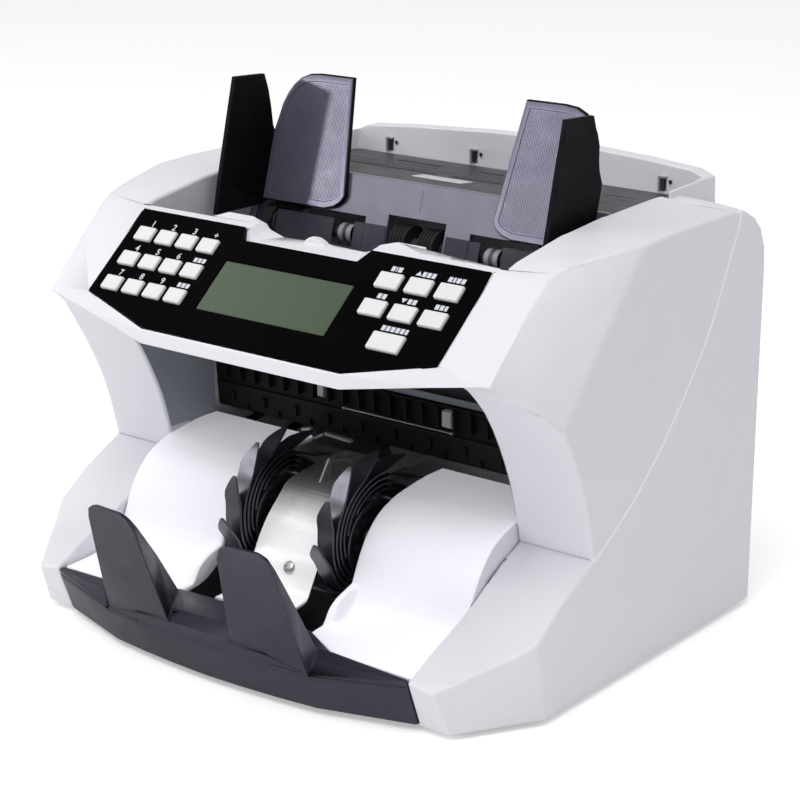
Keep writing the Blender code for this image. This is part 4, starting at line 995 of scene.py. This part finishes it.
# ----------------------------------------------------------- stacker wheels
WHEEL_X = 27.0
WHEEL_RADIUS = 41.0
FLARE_RADIUS = 30.9  # a finger starts to taper here
FINGERS = 13
# angles behind the tip, from the root outwards
FINGER_ANGLES = [2.25 - 0.125 * i for i in range(14)] + [
    0.50, 0.42, 0.35, 0.28, 0.22, 0.16, 0.10, 0.05, 0.0]
# left half of the hub's (x, radius) profile
HUB = [(-4.5, 3.4), (-4.5, 7.2), (-4.1, 7.6), (-3.0, 7.8), (-2.6, 8.4), (-2.6, 15.2),
       (-3.0, 15.8), (-4.1, 16.2), (-4.5, 16.6), (-4.5, 18.6), (-4.1, 19.1)]
PINS, PIN_CIRCLE = 6, 11.6


def finger_centre(tip_angle, behind):
    """Leaning tip that runs smoothly into a flat spiral arm, as (y, z)."""
    flare = WHEEL_RADIUS * exp(-behind / 1.15)
    arm = 31.2 - 5.5 * (behind - 0.30)
    blend = 0.9
    radius = blend * log(exp(flare / blend) + exp(arm / blend))
    radius = min(radius, WHEEL_RADIUS)
    angle = tip_angle + behind
    return Vector((radius * cos(angle), radius * sin(angle)))


def finger(wheel_x, tip_angle):
    rings = []
    for behind in FINGER_ANGLES:
        centre = finger_centre(tip_angle, behind)
        run = finger_centre(tip_angle, behind - 0.01) - finger_centre(tip_angle, behind + 0.01)
        normal = Vector((-run.y, run.x)).normalized()
        if normal.dot(centre) < 0:
            normal = -normal
        t = max(0.0, (centre.length - FLARE_RADIUS) / (WHEEL_RADIUS - FLARE_RADIUS))
        thick = 0.62 - 0.22 * t  # half thickness
        right = 4.5 - 0.9 * t ** 4
        left = 4.5 - 6.2 * max(0.0, (t - 0.35) / 0.65) ** 1.3
        chamfer = min(0.3, thick * 0.5)
        ring = []
        for dx, out in ((-left, -thick + chamfer), (-left + chamfer, -thick),
                        (right - chamfer, -thick), (right, -thick + chamfer),
                        (right, thick - chamfer), (right - chamfer, thick),
                        (-left + chamfer, thick), (-left, thick - chamfer)):
            place = centre + normal * out
            ring.append(point(wheel_x + dx, STACKER_AXIS[0] + place.x,
                              STACKER_AXIS[1] + place.y))
        rings.append(ring)
    # rounded end
    middle = sum(rings[-1], Vector()) / 8
    tip_run = (middle - sum(rings[-2], Vector()) / 8).normalized()
    rings.append([middle + (p - middle) * 0.55 + tip_run * 0.0004 for p in rings[-1]])
    return loft(rings)


def stacker_wheel(side, tag):
    x = side * WHEEL_X
    parts = [finger(x, radians(84.0 + 360.0 * i / FINGERS)) for i in range(FINGERS)]
    parts.append(turned(mirrored(HUB), STACKER_AXIS, x, 60))
    for i in range(PINS):
        t = 2 * pi * i / PINS
        axis = (STACKER_AXIS[0] + PIN_CIRCLE * cos(t), STACKER_AXIS[1] + PIN_CIRCLE * sin(t))
        parts.append(turned(mirrored([(-3.6, 0.9), (-3.6, 1.9)]), axis, x, 14))
    add_solid("stacker_wheel_%s_fan" % tag, merge(parts), FINGER_BLACK,
              ("stacker_wheel_" + tag,), body="stacker", angle=38, mesh_name="fan_" + tag)


for side, tag in SIDES:
    stacker_wheel(side, tag)


# ------------------------------------------------------------------ rollers
def tyre_profile(half, bore, radius, corner, grooves, pitch, depth, mouth, floor):
    """Grooved tyre; mouth and floor are half widths of a groove."""
    end = [(-half, bore), (-half, radius - depth), (-half + corner, radius - 0.1)]
    tread = []
    for i in range(grooves):
        x = pitch * (i - (grooves - 1) / 2)
        tread += [(x - mouth, radius), (x - floor, radius - depth),
                  (x + floor, radius - depth), (x + mouth, radius)]
    return end + tread + [(-x, r) for x, r in reversed(end)]


FEED_TYRE = tyre_profile(half=8.0, bore=4.4, radius=14.0, corner=0.4, grooves=7,
                         pitch=2.0, depth=0.6, mouth=0.55, floor=0.35)
PICKUP_TYRE = tyre_profile(half=4.5, bore=3.4, radius=9.0, corner=0.3, grooves=4,
                           pitch=1.8, depth=0.5, mouth=0.5, floor=0.3)
# left half of the collar's (x, radius) profile
COLLAR = [(-4.0, 2.9), (-4.0, 4.2), (-3.6, 4.6), (-1.2, 4.6), (-1.0, 4.3)]

add_solid("pickup_collars",
          merge([turned(mirrored(COLLAR), PICKUP_AXIS, x, 36) for x in (42.6, -42.6)]),
          LIGHT_GREY, body="pickup")
for side, tag in SIDES:
    add_solid("feed_roller_%s_tyre" % tag, turned(FEED_TYRE, FEED_AXIS, side * 26.0), RUBBER,
              ("feed_roller_" + tag,), body="feed", mesh_name="feed_" + tag)
    add_solid("pickup_roller_%s_tyre" % tag, turned(PICKUP_TYRE, PICKUP_AXIS, side * 8.2),
              RUBBER, ("pickup_roller_" + tag,), body="pickup",
              mesh_name="pick_" + tag)

# --------------------------------------------------------------------- feet
# (height above the floor, radius), from the hollow underside outwards and up
FOOT = [(0.35, 6.2), (0.0, 7.4), (0.25, 8.1), (0.8, 8.8), (2.3, 9.0), (FOOT_HEIGHT, 9.0)]


def foot_pad(name):
    low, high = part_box(name)
    centre = (low + high) / 2
    rings = [[Vector((centre.x + radius * MM * cos(2 * pi * i / 48),
                      centre.y + radius * MM * sin(2 * pi * i / 48), height * MM))
              for i in range(48)] for height, radius in FOOT]
    add_solid(name + "_pad", loft(rings), RUBBER, (name,), angle=40)


for name in ("foot_front_left", "foot_front_right", "foot_rear_left", "foot_rear_right"):
    foot_pad(name)

# -------------------------------------------------------------- note guides
# (distance from the centre, z), anticlockwise
GUIDE_OUTLINE = [(42.7, 181.0), (44.6, 177.9), (48.4, 175.4), (54.0, 173.9), (93.0, 173.9),
                 (93.0, 206.0), (91.4, 213.5), (90.4, 219.0), (88.4, 223.8), (85.6, 228.0),
                 (81.6, 231.6), (76.6, 233.7), (70.0, 234.4), (49.3, 234.4)]
# (inset from the outline, height in front of the guide)
GUIDE_RIM = [(0.55, 0.0), (0.55, 0.35), (0.95, 0.65), (3.2, 0.65), (3.6, 0.30)]
RIB_FROM, RIB_TO, RIB_PITCH = 46.4, 89.4, 0.86
RIB_FOOT, RIB_HEIGHT, RIB_HALF = 0.28, 0.16, 0.26


def inset_outline(outline, distance):
    """Anticlockwise outline moved inwards."""
    moved = []
    for i, here in enumerate(outline):
        before, here, after = Vector(outline[i - 1]), Vector(here), \
            Vector(outline[(i + 1) % len(outline)])
        a, b = (here - before).normalized(), (after - here).normalized()
        push = Vector((-a.y, a.x)) + Vector((-b.y, b.x))
        push = push / max(0.35, push.dot(push)) * 2.0
        moved.append((here.x + push.x * distance, here.y + push.y * distance))
    return moved


def height_span(outline, x):
    """Lowest and highest z of an outline at x, or None outside it."""
    crossings = []
    for i, (xa, za) in enumerate(outline):
        xb, zb = outline[(i + 1) % len(outline)]
        if (xa - x) * (xb - x) < 0:
            crossings.append(za + (zb - za) * (x - xa) / (xb - xa))
    return (min(crossings), max(crossings)) if len(crossings) >= 2 else None


def guide_rib(side, x, low, high):
    """Slim upright rib on the guide's face."""
    section = ((-1.0, 0.0), (-0.5, RIB_HEIGHT), (0.5, RIB_HEIGHT), (1.0, 0.0))
    return loft([[point(side * (x + RIB_HALF * k), guide_y(z, -RIB_FOOT - out), z)
                  for k, out in section] for z in (low, high)])


def guide_face(side, tag):
    parts = [loft([[point(side * x, guide_y(z, -front), z)
                    for x, z in inset_outline(GUIDE_OUTLINE, inset)]
                   for inset, front in GUIDE_RIM])]
    field = inset_outline(GUIDE_OUTLINE, GUIDE_RIM[-1][0])
    x = RIB_FROM
    while x < RIB_TO:
        span = height_span(field, x)
        if span and span[1] - span[0] > 4:
            parts.append(guide_rib(side, x, span[0] + 0.5, span[1] - 0.5))
        x += RIB_PITCH
    add_solid("note_guide_%s_face" % tag, merge(parts), GUIDE_FACE,
              body="guide_" + tag, angle=30, mesh_name="guide_face_" + tag)


for side, tag in SIDES:
    guide_face(side, tag)

# -------------------------------------------------------- hopper back plate
WINDOW = (36.6, 49.0)  # distances from the centre of the small roller windows


def strip(left, right, low, high, front, back):
    """Upright strip on the leaning plane, front and back measured behind it."""
    return loft([[point(left, guide_y(z, front), z), point(right, guide_y(z, front), z),
                  point(right, guide_y(z, back), z), point(left, guide_y(z, back), z)]
                 for z in (low, high)])


def side_strip(side, a, b, *rest):
    return strip(min(side * a, side * b), max(side * a, side * b), *rest)


def hopper_lower_strip():
    """Strip below the plate, with its roller windows; its dark charcoal in place of the plate's
    slate is painted shade.
    """
    parts = []
    for side in (1, -1):
        # the left strip leaves a slot for the pulley of the pick-up shaft
        outer = [(WINDOW[1], 97.0)] if side > 0 else [(WINDOW[1], 84.4), (92.4, 97.0)]
        for a, b in [(30.4, WINDOW[0])] + outer:
            parts.append(side_strip(side, a, b, 155.6, 170.1, 2.6, 3.1))
        parts.append(side_strip(side, *WINDOW, 155.6, 158.4, 2.6, 3.1))
    for side in (1, -1):
        parts.append(side_strip(side, 17.3, 30.2, 155.8, 170.4, 1.95, 2.38))
    obj = add_solid("hopper_lower_strip", merge(parts), CHARCOAL)
    add_bevel(obj, 0.3, 2, 'ANGLE').angle_limit = radians(30.0)


hopper_lower_strip()
# upright bead at the plate's centre
add_solid("hopper_plate_beads", strip(-0.22, 0.22, 178.5, 189.0, 2.25, 2.45), SLATE)

# ---------------------------------------------------------------- rear deck
DECK_LINE = [(133.1, 191.4), (150.0, 190.6), (212.3, 184.9)]  # (y, z) of the deck's top
HOOK_X = (-80.7, -27.9, 27.9, 80.7)


def deck_tab(left, right, front, back, height, chamfer):
    """Low chamfered block on the deck."""
    front_z, back_z = interpolate(DECK_LINE, front), interpolate(DECK_LINE, back)

    def ring(lift, inset):
        return [point(left + inset, front + inset, front_z + lift),
                point(right - inset, front + inset, front_z + lift),
                point(right - inset, back - inset, back_z + lift),
                point(left + inset, back - inset, back_z + lift)]
    return loft([ring(-0.4, 0.0), ring(height - chamfer, 0.0), ring(height, chamfer)])


def deck_slots():
    """Two long dark strips, each with a row of short ones behind it: slots and gaps in the deck
    drawn as black strips, their black painted shade.
    """
    parts = [deck_tab(-99.5, 99.5, 139.4, 140.9, 0.12, 0.1)]
    for i in range(11):
        x = -92.0 + i * 18.4
        parts.append(deck_tab(x - 5.5, x + 5.5, 142.6, 144.6, 0.14, 0.1))
    parts.append(deck_tab(-97.0, 97.0, 173.6, 174.8, 0.12, 0.1))
    for i in range(5):
        x = -76.0 + i * 38.0
        parts.append(deck_tab(x - 9.0, x + 9.0, 183.0, 184.6, 0.14, 0.1))
    add_solid("deck_slots", merge(parts), BLACK)


def slab(left, right, front, back, low, high):
    """Small block with chamfered edges."""
    chamfer = 0.2

    def ring(z, cut):
        return [point(x, y, z) for x, y in (
            (left + cut, front), (right - cut, front), (right, front + cut),
            (right, back - cut), (right - cut, back), (left + cut, back),
            (left, back - cut), (left, front + cut))]
    return loft([ring(low, chamfer * 1.9), ring(low + chamfer, chamfer),
                 ring(high - chamfer, chamfer), ring(high, chamfer * 1.9)])


def rear_hooks():
    """Hooks on the rear wall: slots drawn as black blocks, their black painted shade, with pale
    rims.
    """
    slots, rims = [], []
    for x in HOOK_X:
        slots.append(slab(x - 0.9, x + 0.9, 211.9, 213.3, 186.6, 192.2))
        slots.append(slab(x + 3.3, x + 4.7, 211.9, 213.0, 190.0, 191.6))
        rims.append(slab(x - 2.4, x - 1.3, 211.4, 213.3, 186.0, 193.1))
        rims.append(slab(x - 1.2, x + 2.2, 211.4, 213.3, 192.4, 193.2))
    add_solid("hook_slots", merge(slots), BLACK)
    add_solid("hook_rims", merge(rims), LIGHT_GREY)


deck_slots()
add_solid("deck_plate", deck_tab(-19.0, 10.0, 150.5, 159.5, 0.35, 0.3), PALE_GREY)
rear_hooks()


# --------------------------------------- floor, world, lights, camera (metres)
def studio_world():
    """Soft sky light, with plain white where the camera sees it."""
    world = bpy.data.worlds.new("studio")
    world.use_nodes = True
    tree = world.node_tree
    sky = tree.nodes["Background"]
    sky.inputs["Color"].default_value = (0.98, 0.985, 1.0, 1)
    sky.inputs["Strength"].default_value = 0.54
    backdrop = tree.nodes.new("ShaderNodeBackground")
    backdrop.inputs["Color"].default_value = (1, 1, 1, 1)
    backdrop.inputs["Strength"].default_value = 1.0
    mixer = tree.nodes.new("ShaderNodeMixShader")
    path = tree.nodes.new("ShaderNodeLightPath")
    tree.links.new(path.outputs["Is Camera Ray"], mixer.inputs[0])
    tree.links.new(sky.outputs[0], mixer.inputs[1])
    tree.links.new(backdrop.outputs[0], mixer.inputs[2])
    tree.links.new(mixer.outputs[0], tree.nodes["World Output"].inputs["Surface"])
    SCENE.world = world


def softbox(name, direction, distance, size, power, color=(1, 1, 1)):
    """Square area light aimed at the middle of the machine."""
    light = bpy.data.lights.new(name, 'AREA')
    light.energy = power
    light.color = color
    light.shape = 'RECTANGLE'
    light.size = size
    light.size_y = size
    obj = bpy.data.objects.new(name, light)
    SCENE.collection.objects.link(obj)
    towards = Vector(direction).normalized()
    obj.location = Vector((0, 0, 0.12)) + towards * distance
    obj.rotation_euler = towards.to_track_quat('Z', 'Y').to_euler()
    return obj


def group(name, objects):
    collection = bpy.data.collections.new(name)
    for obj in objects:
        collection.objects.link(obj)
    return collection


def only(light, seen, blockers=None):
    """Limit a softbox to a few pieces, and to a few pieces that shade them."""
    light.light_linking.receiver_collection = group(light.name + "_seen",
                                                    [MADE[name] for name in seen])
    if blockers:
        light.light_linking.blocker_collection = group(light.name + "_blockers",
                                                       [MADE[name] for name in blockers])


bpy.ops.mesh.primitive_plane_add(size=8.0)
floor = bpy.context.object
floor.name = "floor"
floor.data.materials.append(floor_material())
studio_world()

FANS = ["stacker_wheel_left_fan", "stacker_wheel_right_fan"]
RAMPS = ["ramp_left_moulding", "ramp_right_moulding"]
softbox("key_left", (-0.60, -0.78, 0.20), distance=1.6, size=0.50, power=2.6,
        color=(1.0, 0.99, 1.0))
softbox("front_top", (0.12, -0.52, 0.85), distance=1.8, size=0.9, power=11.0)
softbox("top", (0.05, -0.15, 1.0), distance=1.8, size=1.0, power=4.0)
left_high = softbox("left_high", (-0.75, -0.30, 0.62), distance=1.8, size=0.9, power=4.0)
only(softbox("pocket_fill", (0.0, -0.18, 1.0), distance=1.8, size=0.5, power=15.0),
     RAMPS + ["chute_plate_sheet", "plate_screw", "plate_deflector"], RAMPS + FANS)
only(softbox("finger_key", (-0.58, -0.80, 0.18), distance=1.6, size=0.35, power=5.0), FANS)
only(softbox("guide_key", (-0.72, -0.70, 0.24), distance=1.9, size=0.10, power=60.0),
     ["note_guide_left_face", "note_guide_right_face"])
# the glossy panel and the fingers stay out of the high left softbox
spared = group("left_high_spared", [MADE[name] for name in FANS] + [NODES["control_panel"]])
for link in spared.collection_objects:
    link.light_linking.link_state = 'EXCLUDE'
left_high.light_linking.receiver_collection = spared

lens = bpy.data.cameras.new("camera")
lens.lens = 98.36
lens.sensor_width = 36.0
lens.clip_start = 0.01
camera = bpy.data.objects.new("camera", lens)
SCENE.collection.objects.link(camera)
camera.location = (0.60128, -0.74352, 0.39895)
camera.rotation_euler = (radians(90.0 - 17.3146), 0.0, radians(38.0768))
SCENE.camera = camera
SCENE.view_settings.view_transform = 'Standard'
